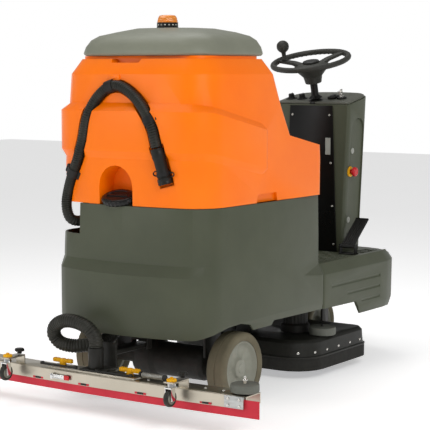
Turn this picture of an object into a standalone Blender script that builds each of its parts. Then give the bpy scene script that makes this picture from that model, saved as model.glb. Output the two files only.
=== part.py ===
"""Ride-on floor scrubber: tank, lid, deck, console, seat, wheels, brush deck and raised squeegee.

The machine is modelled with +Y as its direction of travel, +X to the driver's right and +Z up.
Heights are above the floor, and the rear axle lies on Y = 0 until the last step, which moves the
whole machine so that the origin is under the middle of its box. All sizes are in metres.
"""

import math

import bmesh
import bpy
from mathutils import Matrix, Vector

for old in list(bpy.data.objects):
    bpy.data.objects.remove(old)

# Driving dimensions ------------------------------------------------------------------------------
CLEAR = 0.0008            # between pieces that touch
BODY_HALF = 0.345         # half the width of the mouldings
SEAM_Z = 0.713            # where the recovery tank sits on the lower body
BODY_FRONT = 0.545        # front wall of the lower body
BODY_BOTTOM = 0.262
FLOOR_Z = 0.330           # underside of the lower body's floor
WALL = 0.006              # wall of the mouldings
CORNER = 0.095            # rear vertical corners of the mouldings

DECK_TOP = 0.445          # the deck's side rims
DECK_FLOOR = 0.428        # the treaded floor between them
DECK_BOTTOM = 0.213
NOSE_Y = 1.230
NOSE_BULGE = 0.030

TANK_TOP = 1.226
LID_GAP = 0.011
LID_HEIGHT = 0.099
SEAT_FLOOR = 0.765        # floor of the recess between the arm rests
SEAT_HALF = 0.240

REAR_WHEEL_R, REAR_WHEEL_W = 0.130, 0.075
REAR_WHEEL_OUT = 0.335    # outer face of a rear wheel
FRONT_WHEEL_R, FRONT_WHEEL_W, FRONT_WHEEL_Y = 0.110, 0.070, 1.060
RIM_SHARE = 0.75          # rim radius as a share of the wheel's

PAN_HALF = 0.215          # chassis pan
PAN_T = 0.004
PAN_REAR, PAN_FRONT = -0.200, 1.165
PAN_FLANGE = 0.040
STEM_R = 0.022

CONSOLE_REAR = 1.020
CONSOLE_DEPTH = 0.185
CONSOLE_TOP_HALF, CONSOLE_FOOT_HALF = 0.180, 0.150
CONSOLE_TOP_Z = 1.043     # at its rear edge
CONSOLE_SLOPE = 0.20
DASH_T = 0.010

STEER_TILT = math.radians(15)
STEER_CENTRE = Vector((0.0, 1.010, 1.225))
STEER_R, STEER_TUBE = 0.159, 0.0115
COLUMN_R = 0.0155

RAIL_Y = -0.430           # rear face of the squeegee at its middle
RAIL_HALF = 0.612
RAIL_SWEEP = 0.020
RAIL_LOW, RAIL_HIGH = 0.098, 0.139
RAIL_DEPTH = 0.085
BLADE_LOW, BLADE_HALF, BLADE_T = 0.071, 0.662, 0.0045
STRAP_T = 0.0025
CASTER_X, CASTER_R, CASTER_W, CASTER_TRAIL = 0.362, 0.029, 0.018, 0.010
CASTER_UP = 0.016         # a caster above the blades' lower edge
END_ROLLER_R, END_ROLLER_T, END_ROLLER_X = 0.048, 0.028, 0.584
CUFF_R, CUFF_TOP = 0.027, 0.226
CUFF_X, CUFF_Y = -0.033, RAIL_Y + 0.055

BRUSH_DECK_HALF, BRUSH_DECK_REAR, BRUSH_DECK_FRONT = 0.330, 0.440, 0.925
BRUSH_DECK_TOP, SKIRT_LOW, SKIRT_HIGH = 0.152, 0.034, 0.080
BRUSH_R, BRUSH_LOW = 0.152, 0.030
BRUSHES = {"left": (-0.158, 0.750), "right": (0.158, 0.640)}
DECK_ROLLER = (0.285, 0.635, 0.0535, 0.031)

DRAIN_R = 0.0195
VACUUM_R = 0.025

ROOT = bpy.data.objects.new("machine", None)
bpy.context.scene.collection.objects.link(ROOT)


# Materials ---------------------------------------------------------------------------------------
def paint(name, colour, roughness, metallic=0.0):
    made = bpy.data.materials.new(name)
    made.use_nodes = True
    shader = made.node_tree.nodes["Principled BSDF"]
    shader.inputs["Base Color"].default_value = (*colour, 1.0)
    shader.inputs["Roughness"].default_value = roughness
    shader.inputs["Metallic"].default_value = metallic
    return made


ORANGE = paint("orange_plastic", (1.0, 0.24, 0.0), 0.45)
GREY = paint("grey_plastic", (0.10, 0.11, 0.085), 0.55)
LID_GREY = paint("lid_plastic", (0.30, 0.31, 0.26), 0.5)
BLACK = paint("black_plastic", (0.012, 0.012, 0.012), 0.45)
DARK_RUBBER = paint("black_rubber", (0.02, 0.02, 0.02), 0.8)
TYRE = paint("grey_tyre", (0.14, 0.13, 0.10), 0.85)
RIM = paint("rim_plastic", (0.36, 0.37, 0.33), 0.5)
RED_RUBBER = paint("red_rubber", (0.62, 0.03, 0.045), 0.55)
STEEL = paint("brushed_steel", (0.62, 0.60, 0.56), 0.3, 1.0)
CHROME = paint("chrome", (0.75, 0.75, 0.75), 0.15, 1.0)
FRAME_PAINT = paint("frame_paint", (0.02, 0.02, 0.02), 0.5)
YELLOW = paint("yellow_plastic", (0.85, 0.50, 0.01), 0.45)
AMBER = paint("amber_lens", (1.0, 0.35, 0.0), 0.15)
RED_PLASTIC = paint("red_plastic", (0.65, 0.01, 0.02), 0.35)
VINYL = paint("seat_vinyl", (0.02, 0.02, 0.022), 0.6)
BRISTLE = paint("brush_bristle", (0.03, 0.06, 0.20), 0.7)
CASING = paint("battery_case", (0.03, 0.03, 0.035), 0.5)


# Shapes ------------------------------------------------------------------------------------------
def skin(rings, loop=False):
    """A closed solid through rings with the same number of points. Its ends are capped, or meet."""
    made = bmesh.new()
    rows = [[made.verts.new(point) for point in ring] for ring in rings]
    following = rows[1:] + rows[:1] if loop else rows[1:]
    for low, high in zip(rows, following):
        for i in range(len(low)):
            j = (i + 1) % len(low)
            made.faces.new((low[i], low[j], high[j], high[i]))
    if not loop:
        made.faces.new(rows[0][::-1])
        made.faces.new(rows[-1])
    bmesh.ops.recalc_face_normals(made, faces=made.faces)
    return made


def plan(z, half, rear, front, r_rear=0.02, r_front=0.02, bow=0.0, bow_front=0.0, steps=4, spans=6,
         sides=(), front_half=None):
    """A rounded rectangle seen from above. Its rear and front edges may bow out, z may be a function of y,
    and its sides may pass through points of (half width, y) on their way to another width at the front."""
    flat = []
    fore = half if front_half is None else front_half

    def corner(x, y, r, start):
        for k in range(steps + 1):
            turn = start + math.pi / 2 * k / steps
            flat.append((x + r * math.cos(turn), y + r * math.sin(turn)))

    def edge(x0, x1, y):
        flat.extend((x0 + (x1 - x0) * k / spans, y) for k in range(1, spans))

    corner(-half + r_rear, rear + r_rear, r_rear, math.pi)
    edge(-half + r_rear, half - r_rear, rear)
    corner(half - r_rear, rear + r_rear, r_rear, 1.5 * math.pi)
    flat.extend(sides)
    corner(fore - r_front, front - r_front, r_front, 0.0)
    edge(fore - r_front, -fore + r_front, front)
    corner(-fore + r_front, front - r_front, r_front, 0.5 * math.pi)
    flat.extend((-x, y) for x, y in reversed(sides))
    middle = (rear + front) / 2
    ring = []
    for x, y in flat:
        crown = max(0.0, 1 - (x / half) ** 2)
        y += -bow * crown if y < middle else bow_front * crown
        ring.append((x, y, z(y) if callable(z) else z))
    return ring


def turned(profile, axis="Z", at=(0, 0, 0), sides=32):
    """Turns a closed outline of (radius, distance along the axis). A radius of 0 is a pole."""
    made = bmesh.new()
    place = {"X": lambda r, a, c, s: (a, r * c, r * s),
             "Y": lambda r, a, c, s: (r * s, a, r * c),
             "Z": lambda r, a, c, s: (r * c, r * s, a)}[axis]
    rows = []
    for r, a in profile:
        if r == 0:
            rows.append([made.verts.new(Vector(place(0, a, 1, 0)) + Vector(at))])
            continue
        turns = [2 * math.pi * k / sides for k in range(sides)]
        rows.append([made.verts.new(Vector(place(r, a, math.cos(t), math.sin(t))) + Vector(at)) for t in turns])
    for one, two in zip(rows, rows[1:] + rows[:1]):
        for k in range(sides):
            j = (k + 1) % sides
            loop = [one[k % len(one)], one[j % len(one)], two[j % len(two)], two[k % len(two)]]
            corners = list(dict.fromkeys(loop))
            if len(corners) > 2:
                made.faces.new(corners)
    bmesh.ops.recalc_face_normals(made, faces=made.faces)
    return made


def rod(radius, start, end, axis="Z", at=(0, 0, 0), sides=20):
    return turned([(0, start), (radius, start), (radius, end), (0, end)], axis, at, sides)


def pipe(radius, bore, start, end, axis="Z", at=(0, 0, 0), sides=20):
    return turned([(bore, start), (radius, start), (radius, end), (bore, end)], axis, at, sides)


def block(low, high, bevel=0.0, rounds=1):
    made = bmesh.new()
    bmesh.ops.create_cube(made, size=1.0)
    low, high = Vector(low), Vector(high)
    for vert in made.verts:
        vert.co = Vector(l + (h - l) * (c + 0.5) for l, h, c in zip(low, high, vert.co))
    if bevel:
        bmesh.ops.bevel(made, geom=made.edges[:], offset=bevel, segments=rounds, affect="EDGES", profile=0.5)
    return made


def prism(outline, x0, x1):
    """An outline of (y, z) points, pulled out along X."""
    return skin([[(x, y, z) for y, z in outline] for x in (x0, x1)])


def swept(section, stations):
    """A closed outline of (y, z) offsets, carried along stations of (x, y)."""
    return skin([[(x, y + dy, z) for dy, z in section] for x, y in stations])


def smooth_route(points, count):
    """Evenly spaced points on a smooth curve through the given ones."""
    knots = [Vector(p) for p in points]
    knots = [2 * knots[0] - knots[1]] + knots + [2 * knots[-1] - knots[-2]]
    fine = []
    for a, b, c, d in zip(knots, knots[1:], knots[2:], knots[3:]):
        for k in range(40):
            t = k / 40
            fine.append(0.5 * (2 * b + (c - a) * t + (2 * a - 5 * b + 4 * c - d) * t**2
                               + (3 * b - a - 3 * c + d) * t**3))
    fine.append(knots[-2])
    reach = [0.0]
    for one, two in zip(fine, fine[1:]):
        reach.append(reach[-1] + (two - one).length)
    spaced, i = [], 0
    for k in range(count):
        goal = reach[-1] * k / (count - 1)
        while i < len(fine) - 2 and reach[i + 1] < goal:
            i += 1
        span = reach[i + 1] - reach[i]
        spaced.append(fine[i].lerp(fine[i + 1], (goal - reach[i]) / span if span else 0.0))
    return spaced


def tube_curve(name, points, radius):
    curve = bpy.data.curves.new(name, "CURVE")
    curve.dimensions = "3D"
    curve.bevel_depth = radius
    curve.bevel_resolution = 2
    curve.use_fill_caps = True
    line = curve.splines.new("POLY")
    line.points.add(len(points) - 1)
    for spot, point in zip(line.points, points):
        spot.co = (*point, 1.0)
    return curve


# Pieces ------------------------------------------------------------------------------------------
def place(name, data, material, origin=(0, 0, 0), turn=0.0):
    made = bpy.data.objects.new(name, data)
    bpy.context.scene.collection.objects.link(made)
    made.parent = ROOT
    made.location = origin
    made.rotation_euler = (turn, 0, 0)
    data.materials.append(material)
    return made


def solid(name, shape, material, join=(), cut=(), origin=(0, 0, 0), turn=0.0, sharp=32):
    """One sub-part from a bmesh in the machine's frame, less its cuts and with its joins. Its origin is on its axis."""
    frame = Matrix.Translation(origin) @ Matrix.Rotation(turn, 4, "X")

    def mesh_of(bm, label):
        bmesh.ops.transform(bm, matrix=frame.inverted(), verts=bm.verts)
        mesh = bpy.data.meshes.new(label)
        bm.to_mesh(mesh)
        bm.free()
        return mesh

    mesh = mesh_of(shape, name)
    mesh.shade_smooth()
    mesh.set_sharp_from_angle(angle=math.radians(sharp))
    made = place(name, mesh, material, origin, turn)
    for kind, tools in (("UNION", join), ("DIFFERENCE", cut)):
        for number, tool in enumerate(tools):
            label = f"{name}_{kind.lower()}_{number}"
            cutter = place(label, mesh_of(tool, label), material, origin, turn)
            cutter.hide_render = True
            cutter.display_type = "WIRE"
            step = made.modifiers.new(label, "BOOLEAN")
            step.operation = kind
            step.solver = "EXACT"
            step.object = cutter
    return made


# Lower body --------------------------------------------------------------------------------------
BODY_LEVELS = [  # height, inset of the sides, rear corner, bow, swell of the sides, crease's y, drop at the front
    (BODY_BOTTOM, 0.005, -0.235, 0.066, 0.000, 0.500, 0.000),
    (BODY_BOTTOM + 0.040, 0.000, -0.240, 0.070, 0.000, 0.500, 0.000),
    (0.405, 0.000, -0.240, 0.070, 0.000, 0.520, 0.000),
    (0.418, 0.000, -0.240, 0.070, 0.000, 0.400, 0.007),
    (DECK_TOP, 0.000, -0.240, 0.070, 0.000, 0.355, 0.021),
    (0.478, 0.000, -0.240, 0.070, 0.000, 0.330, 0.022),
    (0.515, 0.005, -0.232, 0.036, 0.005, 0.307, 0.022),
    (0.560, 0.006, -0.231, 0.036, 0.006, 0.280, 0.022),
    (0.603, 0.007, -0.229, 0.036, 0.005, 0.262, 0.021),
    (SEAM_Z, 0.009, -0.225, 0.035, 0.003, 0.262, 0.019),
]
SWELL_FROM, SWELL_TO = 0.090, 0.125    # where the sides step out


def body_ring(level, inset=0.0):
    z, side, rear, bow, swell, crease, drop = level
    half = BODY_HALF - side - inset
    full = half + swell
    return plan(z, half, rear + inset, BODY_FRONT - inset, CORNER - inset, 0.012 - inset / 2, bow,
                sides=[(half, SWELL_FROM), (full, SWELL_TO), (full, crease)], front_half=full - drop)


def inner_level(z):
    """The body's plan between two of its levels."""
    for one, two in zip(BODY_LEVELS, BODY_LEVELS[1:]):
        if z <= two[0]:
            share = (z - one[0]) / (two[0] - one[0])
            return (z, *(a + (b - a) * share for a, b in zip(one[1:], two[1:])))
    return BODY_LEVELS[-1]


ARCH = [(-0.250, BODY_BOTTOM - 0.02), (-0.235, 0.262), (-0.190, 0.275), (-0.150, 0.287), (-0.110, 0.294),
        (-0.030, 0.297), (0.035, 0.284), (0.075, BODY_BOTTOM - 0.02)]
SIDE_STEP = [(0.160, BODY_BOTTOM - 0.02), (0.190, 0.278), (BODY_FRONT + 0.05, 0.272),
             (BODY_FRONT + 0.05, BODY_BOTTOM - 0.02)]
POCKET_X, POCKET_FRONT, POCKET_LOW = -0.205, -0.075, 0.602
PAN_TOP = FLOOR_Z - CLEAR
RECESS_X, RECESS_HALF, RECESS_TOP = -0.0355, 0.0755, 0.854    # arched recess over the filler neck
CAP_A, CAP_B, CAP_T = 0.072, 0.047, 0.022
CAP_TILT = math.radians(30)
CAP_HINGE = Vector((RECESS_X, -0.196, 0.7640))


def on_neck(profile, sides=28):
    """A turned shape made oval, on the leaning axis of the filler neck. Height 0 is the cap's middle."""
    shape = turned(profile, sides=sides)
    frame = (Matrix.Translation(CAP_HINGE) @ Matrix.Rotation(CAP_TILT, 4, "X")
             @ Matrix.Translation((0, -CAP_B - 0.002, 0)) @ Matrix.Diagonal((1, CAP_B / CAP_A, 1, 1)))
    bmesh.ops.transform(shape, matrix=frame, verts=shape.verts)
    return shape


neck_r = CAP_A * 0.80
rings = [body_ring(inner_level(FLOOR_Z), WALL), body_ring(BODY_LEVELS[0], WALL)]
rings += [body_ring(level) for level in BODY_LEVELS]
rings += [body_ring(level, WALL) for level in reversed(BODY_LEVELS[2:])]
rings += [body_ring(inner_level(FLOOR_Z + WALL), WALL)]
solid("lower_body", skin(rings), GREY, join=[
    block((RECESS_X - 0.085, -0.250, SEAM_Z - 0.012), (RECESS_X + 0.085, -0.160, SEAM_Z - CLEAR)),
    on_neck([(0, -0.044), (neck_r, -0.044), (neck_r, -CAP_T / 2 - CLEAR), (0, -CAP_T / 2 - CLEAR)]),
], cut=[
    on_neck([(0, -0.066), (neck_r - 0.005, -0.066), (neck_r - 0.005, 0), (0, 0)], 22),
    prism(ARCH, -BODY_HALF - 0.05, BODY_HALF + 0.05),
    prism(SIDE_STEP, -BODY_HALF - 0.05, BODY_HALF + 0.05),
    block((-PAN_HALF - 0.02, BODY_FRONT - 0.05, BODY_BOTTOM - 0.02), (PAN_HALF + 0.02, BODY_FRONT + 0.05, FLOOR_Z)),
    block((-BODY_HALF - 0.05, -0.40, POCKET_LOW), (POCKET_X, POCKET_FRONT, SEAM_Z + 0.05)),
])

# Four lead batteries in one tray, as the bank that lifts out.
BANK_LOW = FLOOR_Z + WALL + CLEAR
solid("battery_bank", block((-0.185, 0.060, BANK_LOW), (0.185, 0.500, BANK_LOW + 0.265), 0.006), CASING)

# Chassis -----------------------------------------------------------------------------------------
AXLE_Z = REAR_WHEEL_R
AXLE_TUBE_R = 0.030
LINK_Y, LINK_Z, LINK_T = -0.115, 0.198, 0.016
DECK_LINK_Y, DECK_LINK_Z = 0.370, 0.236
LINK_HALF, DECK_LINK_HALF, LUG_T = 0.030, 0.022, 0.006
pan_low = PAN_TOP - PAN_FLANGE
pan_section = [(-PAN_HALF, pan_low), (-PAN_HALF, PAN_TOP), (PAN_HALF, PAN_TOP), (PAN_HALF, pan_low),
               (PAN_HALF - PAN_T, pan_low), (PAN_HALF - PAN_T, PAN_TOP - PAN_T),
               (-PAN_HALF + PAN_T, PAN_TOP - PAN_T), (-PAN_HALF + PAN_T, pan_low)]
pan = skin([[(x, y, z) for x, z in pan_section] for y in (PAN_REAR, PAN_FRONT)])
brackets = [block((side * 0.200 - 0.005, -0.050, AXLE_Z + AXLE_TUBE_R + CLEAR),
                  (side * 0.200 + 0.005, 0.050, PAN_TOP - PAN_T / 2)) for side in (-1, 1)]
for x, y, z, half in ((CUFF_X, LINK_Y, LINK_Z, LINK_HALF), (0, DECK_LINK_Y, DECK_LINK_Z, DECK_LINK_HALF)):
    lug = half + 2 * CLEAR
    brackets.append(block((x - lug - LUG_T, y - 0.014, z + LINK_T), (x + lug + LUG_T, y + 0.014, PAN_TOP - PAN_T / 2)))
    for side in (-1, 1):
        near, far = sorted((x + side * lug, x + side * (lug + LUG_T)))
        brackets.append(block((near, y - 0.014, z - 0.014), (far, y + 0.014, z + LINK_T + 0.002)))
solid("chassis_pan", pan, FRAME_PAINT, join=brackets,
      cut=[rod(STEM_R + 0.004, 0.20, 0.40, "Z", (0, FRONT_WHEEL_Y, 0))])

# Rear axle and wheels ----------------------------------------------------------------------------
wheel_x = REAR_WHEEL_OUT - REAR_WHEEL_W / 2
hub_in = wheel_x - REAR_WHEEL_W * 0.4
axle_end = hub_in - CLEAR
solid("transaxle", turned([(0, -axle_end), (AXLE_TUBE_R, -axle_end), (AXLE_TUBE_R, -0.130), (0.066, -0.115),
                           (0.074, -0.090), (0.074, -0.035), (0.062, -0.020), (0.062, 0.175), (0.050, 0.190),
                           (AXLE_TUBE_R, 0.195), (AXLE_TUBE_R, axle_end), (0, axle_end)],
                          "X", (0, 0, AXLE_Z), 28), BLACK)


def tyre_outline(radius, width, bore):
    half = width / 2
    return [(radius - 0.007, -half), (radius, -half + 0.009), (radius, half - 0.009), (radius - 0.007, half),
            (bore, half - 0.004), (bore, -half + 0.004)]


def rim_outline(radius, width, side, axle=0.0):
    """A dished rim with its hub cap on the outer side."""
    half = width / 2
    outline = [(axle, half * 0.74), (radius * 0.30, half * 0.74), (radius * 0.34, half * 0.55),
               (radius * 0.42, half * 0.32), (radius * 0.80, half * 0.36), (radius * 0.93, half * 0.80),
               (radius, half * 0.84), (radius, -half * 0.84), (radius * 0.88, -half * 0.84),
               (radius * 0.80, -half * 0.14), (radius * 0.40, -half * 0.14), (radius * 0.34, -half * 0.80),
               (axle, -half * 0.80)]
    return [(r, side * a) for r, a in outline]


for side, word in ((-1, "left"), (1, "right")):
    hub = (side * wheel_x, 0, REAR_WHEEL_R)
    rim_r = REAR_WHEEL_R * RIM_SHARE
    solid(f"rear_tyre_{word}", turned(tyre_outline(REAR_WHEEL_R, REAR_WHEEL_W, rim_r + CLEAR), "X", hub, 40),
          TYRE, origin=hub)
    solid(f"rear_rim_{word}", turned(rim_outline(rim_r, REAR_WHEEL_W, side), "X", hub, 32), RIM, origin=hub)

# Front fork and wheel ----------------------------------------------------------------------------
FRONT_AXLE_R = 0.010
leg_in = FRONT_WHEEL_W / 2 + 0.006
leg_out = leg_in + 0.010
fork_low = FRONT_WHEEL_R - 0.018
crown_low = 2 * FRONT_WHEEL_R + 0.014
front_hub = (0, FRONT_WHEEL_Y, FRONT_WHEEL_R)
fork_legs = [block((min(side * leg_in, side * leg_out), FRONT_WHEEL_Y - 0.024, fork_low),
                   (max(side * leg_in, side * leg_out), FRONT_WHEEL_Y + 0.024, crown_low + 0.008)) for side in (-1, 1)]
solid("front_fork", block((-leg_out, FRONT_WHEEL_Y - 0.036, crown_low), (leg_out, FRONT_WHEEL_Y + 0.036, crown_low + 0.014)),
      FRAME_PAINT, origin=(0, FRONT_WHEEL_Y, 0),
      join=fork_legs + [rod(STEM_R, crown_low + 0.007, DECK_FLOOR - 0.018, "Z", (0, FRONT_WHEEL_Y, 0)),
                        rod(FRONT_AXLE_R, -leg_out - 0.004, leg_out + 0.004, "X", front_hub, 16)])
front_rim_r = FRONT_WHEEL_R * RIM_SHARE
solid("front_tyre", turned(tyre_outline(FRONT_WHEEL_R, FRONT_WHEEL_W, front_rim_r + CLEAR), "X", front_hub, 36),
      TYRE, origin=front_hub)
solid("front_rim", turned(rim_outline(front_rim_r, FRONT_WHEEL_W, 1, FRONT_AXLE_R + CLEAR), "X", front_hub, 28),
      RIM, origin=front_hub)

# Front deck --------------------------------------------------------------------------------------
DECK_REAR = BODY_FRONT + 2 * CLEAR
DECK_CHAMFER = 0.042


def deck_ring(z, side, nose, inset=0.0):
    return plan(z, BODY_HALF - side - inset, DECK_REAR + inset, NOSE_Y - nose - inset,
                0.012 - inset / 2, 0.175 - inset, 0.0, NOSE_BULGE, steps=5)


rings = [deck_ring(DECK_FLOOR - WALL - 0.001, 0.014, 0.012, WALL), deck_ring(DECK_TOP - DECK_CHAMFER, 0.0, 0.0, WALL),
         deck_ring(DECK_BOTTOM, 0.010, 0.008, WALL), deck_ring(DECK_BOTTOM, 0.010, 0.008),
         deck_ring(DECK_BOTTOM + 0.030, 0.002, 0.002), deck_ring(DECK_TOP - DECK_CHAMFER, 0.0, 0.0),
         deck_ring(DECK_TOP, 0.022, 0.018)]
DECK_STEP = [(DECK_REAR - 0.05, DECK_BOTTOM - 0.02), (DECK_REAR - 0.05, 0.272), (0.800, 0.267),
             (0.845, DECK_BOTTOM), (0.845, DECK_BOTTOM - 0.02)]
WELL_HALF, WELL_REAR = 0.305, 0.565
GROOVES = ((0.605, 1.000, 0.352), (0.731, 1.000, 0.309), (0.846, 0.998, 0.266))    # rear, front, height


def side_groove(side, rear, front, z):
    """A wedge that leaves a groove in one side of the deck."""
    deep, out = BODY_HALF - 0.0045, BODY_HALF + 0.003
    return skin([[(side * deep, y, z - 0.002), (side * out, y, z - 0.012), (side * out, y, z + 0.012),
                  (side * deep, y, z + 0.002)] for y in (rear, front)])



solid("front_deck", skin(rings), GREY, cut=[
    prism(DECK_STEP, -BODY_HALF - 0.05, BODY_HALF + 0.05),
    block((-PAN_HALF - 0.02, DECK_REAR - 0.05, DECK_BOTTOM - 0.02), (PAN_HALF + 0.02, DECK_REAR + 0.05, FLOOR_Z)),
    block((-WELL_HALF, WELL_REAR, DECK_FLOOR), (WELL_HALF, NOSE_Y + 0.10, DECK_TOP + 0.05)),
] + [side_groove(side, *groove) for side in (-1, 1) for groove in GROOVES])

# Console -----------------------------------------------------------------------------------------
CONSOLE_FRONT = CONSOLE_REAR + CONSOLE_DEPTH
CONSOLE_FOOT = DECK_FLOOR + CLEAR
CONSOLE_WALL = 0.014


def console_top(y):
    return CONSOLE_TOP_Z + CONSOLE_SLOPE * (y - CONSOLE_REAR)


def console_ring(z, share, inset=0.0, rear=CONSOLE_REAR):
    half = CONSOLE_FOOT_HALF + (CONSOLE_TOP_HALF - CONSOLE_FOOT_HALF) * share
    return plan(z, half - inset, rear, CONSOLE_FRONT - inset, 0.014, 0.060, 0.0, 0.022)


def console_side(y, z):
    """Half the console's width, which grows with height."""
    share = 0.5 * (z - CONSOLE_FOOT) / (0.75 - CONSOLE_FOOT) if z < 0.75 else (
        0.5 + 0.5 * (z - 0.75) / (console_top(y) - 0.75))
    return CONSOLE_FOOT_HALF + (CONSOLE_TOP_HALF - CONSOLE_FOOT_HALF) * share


STOP_Y, STOP_Z, STOP_TRAVEL = 1.055, 0.765, 0.005
ARCHWAY_REAR, ARCHWAY_FRONT, ARCHWAY_LOW, ARCHWAY_SPRING, ARCHWAY_DEPTH = 1.050, 1.165, 0.500, 0.930, 0.010
archway_r = (ARCHWAY_FRONT - ARCHWAY_REAR) / 2
archway = [(ARCHWAY_REAR, ARCHWAY_LOW), (ARCHWAY_FRONT, ARCHWAY_LOW)] + [
    (ARCHWAY_REAR + archway_r * (1 + math.cos(t)), ARCHWAY_SPRING + archway_r * math.sin(t))
    for t in (math.pi * k / 10 for k in range(11))]
side_recesses = [skin([[(side * (console_side(y, z) + out), y, z) for y, z in archway]
                       for out in (-ARCHWAY_DEPTH, 0.02)]) for side in (-1, 1)]
PANEL_HALF, PANEL_FOOT_HALF = 0.102, 0.127
PANEL_T = 0.005
hatch_half = PANEL_HALF - 0.012
solid("console_shell", skin([console_ring(CONSOLE_FOOT, 0.0), console_ring(0.75, 0.5), console_ring(console_top, 1.0)]),
      GREY, cut=[
          skin([console_ring(CONSOLE_FOOT + WALL, 0.0, CONSOLE_WALL, CONSOLE_REAR + WALL),
                console_ring(lambda y: console_top(y) - WALL, 1.0, CONSOLE_WALL, CONSOLE_REAR + WALL)]),
          block((-hatch_half, CONSOLE_REAR - 0.02, CONSOLE_FOOT + 0.03), (hatch_half, CONSOLE_REAR + 0.03, CONSOLE_TOP_Z - 0.03)),
          rod(0.0095, 0.10, 0.22, "X", (0, STOP_Y, STOP_Z), 16),
          *side_recesses,
      ])
panel_y = CONSOLE_REAR - CLEAR
panel_outline = [(-PANEL_FOOT_HALF, CONSOLE_FOOT + 0.002), (PANEL_FOOT_HALF, CONSOLE_FOOT + 0.002),
                 (PANEL_HALF, CONSOLE_TOP_Z - 0.004), (-PANEL_HALF, CONSOLE_TOP_Z - 0.004)]
solid("console_panel", skin([[(x, y, z) for x, z in panel_outline] for y in (panel_y - PANEL_T, panel_y)]), BLACK)
dash_half, dash_rear, dash_front = CONSOLE_TOP_HALF - 0.006, CONSOLE_REAR + 0.006, CONSOLE_FRONT - 0.006
solid("console_dash", skin([
    plan(lambda y, up=up: console_top(y) + up, dash_half - edge, dash_rear + edge, dash_front - edge, 0.010, 0.056,
         0.0, 0.022) for up, edge in ((CLEAR, 0.0), (DASH_T - 0.003, 0.0), (DASH_T, 0.004))]), BLACK)

# Steering ----------------------------------------------------------------------------------------
# In the wheel's own frame Z is its shaft, and the rim lies on Z = 0. Its frame is tilted to the driver.
steer_frame = Matrix.Translation(STEER_CENTRE) @ Matrix.Rotation(STEER_TILT, 4, "X")


def tilted(shape):
    bmesh.ops.transform(shape, matrix=steer_frame, verts=shape.verts)
    return shape


HUB_LOW = -0.094
column_low = -(STEER_CENTRE.z - console_top(1.06) - DASH_T - CLEAR) / math.cos(STEER_TILT) + 0.010
solid("steering_column", tilted(turned([(0, column_low), (0.030, column_low), (COLUMN_R, column_low + 0.012),
                                        (COLUMN_R, HUB_LOW - CLEAR), (0, HUB_LOW - CLEAR)])), BLACK)
rim_points = [(STEER_R + STEER_TUBE * math.cos(t), STEER_TUBE * math.sin(t))
              for t in (2 * math.pi * k / 10 for k in range(10))]
spokes = []
for turn in (90, 210, 330):
    arm = skin([[(r, -w, z - t), (r, w, z - t), (r, w, z + t), (r, -w, z + t)]
                for r, w, z, t in ((0.025, 0.020, -0.030, 0.009), (0.085, 0.015, -0.010, 0.006),
                                   (STEER_R - 0.002, 0.014, 0.0, 0.005))])
    bmesh.ops.transform(arm, matrix=Matrix.Rotation(math.radians(turn + 90), 4, "Z"), verts=arm.verts)
    spokes.append(tilted(arm))
solid("steering_wheel", tilted(turned(rim_points, sides=36)), BLACK, origin=STEER_CENTRE, turn=STEER_TILT,
      join=spokes + [tilted(turned([(0, HUB_LOW), (0.034, HUB_LOW), (0.040, -0.066), (0.072, -0.030), (0.074, -0.022),
                                    (0.050, -0.012), (0.036, -0.008), (0, -0.006)], sides=24))])
SPINNER_X = -0.128
KNOB_R, KNOB_UP = 0.026, 0.062
ball = [(KNOB_R * math.sin(t), KNOB_UP - KNOB_R * math.cos(t)) for t in (math.pi * k / 8 for k in range(2, 8))]
spinner_at = steer_frame @ Vector((SPINNER_X, 0, 0))
solid("spinner_knob", tilted(turned([(0, 0.0068), (0.012, 0.0068), (0.009, 0.014), (0.009, 0.036), *ball,
                                     (0, KNOB_UP + KNOB_R)], at=(SPINNER_X, 0, 0), sides=18)),
      BLACK, origin=spinner_at, turn=STEER_TILT)

# Controls ----------------------------------------------------------------------------------------
stop_x = console_side(STOP_Y, STOP_Z) + 0.002
solid("stop_button", turned([(0, stop_x - 0.008), (0.008, stop_x - 0.008), (0.008, stop_x + 0.010 + STOP_TRAVEL + CLEAR),
                             (0.019, stop_x + 0.010 + STOP_TRAVEL + CLEAR), (0.020, stop_x + 0.022),
                             (0.016, stop_x + 0.030), (0, stop_x + 0.032)], "X", (0, STOP_Y, STOP_Z), 24),
      RED_PLASTIC, origin=(stop_x, STOP_Y, STOP_Z))
dash_tilt = math.atan(CONSOLE_SLOPE)


def on_dash(name, shape_of, x, y, material):
    """A turning control that stands square on the sloping dash."""
    at = Vector((x, y, console_top(y) + DASH_T + CLEAR))
    frame = Matrix.Translation(at) @ Matrix.Rotation(dash_tilt, 4, "X")
    shape = shape_of()
    bmesh.ops.transform(shape, matrix=frame, verts=shape.verts)
    solid(name, shape, material, origin=at, turn=dash_tilt)


def dial():
    return turned([(0, 0), (0.016, 0), (0.016, 0.006), (0.012, 0.010), (0.012, 0.020), (0, 0.021)], sides=16)


def key():
    return skin([[(x * s, y * s, z) for x, y in ((-1, -1), (1, -1), (1, 1), (-1, 1))] for s, z in
                 ((0.011, 0.0), (0.011, 0.012), (0.004, 0.0121), (0.004, 0.040))])


on_dash("dial_left", dial, -0.135, 1.080, BLACK)
on_dash("dial_right", dial, -0.082, 1.080, BLACK)
on_dash("key_switch", key, 0.105, 1.090, BLACK)

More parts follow.
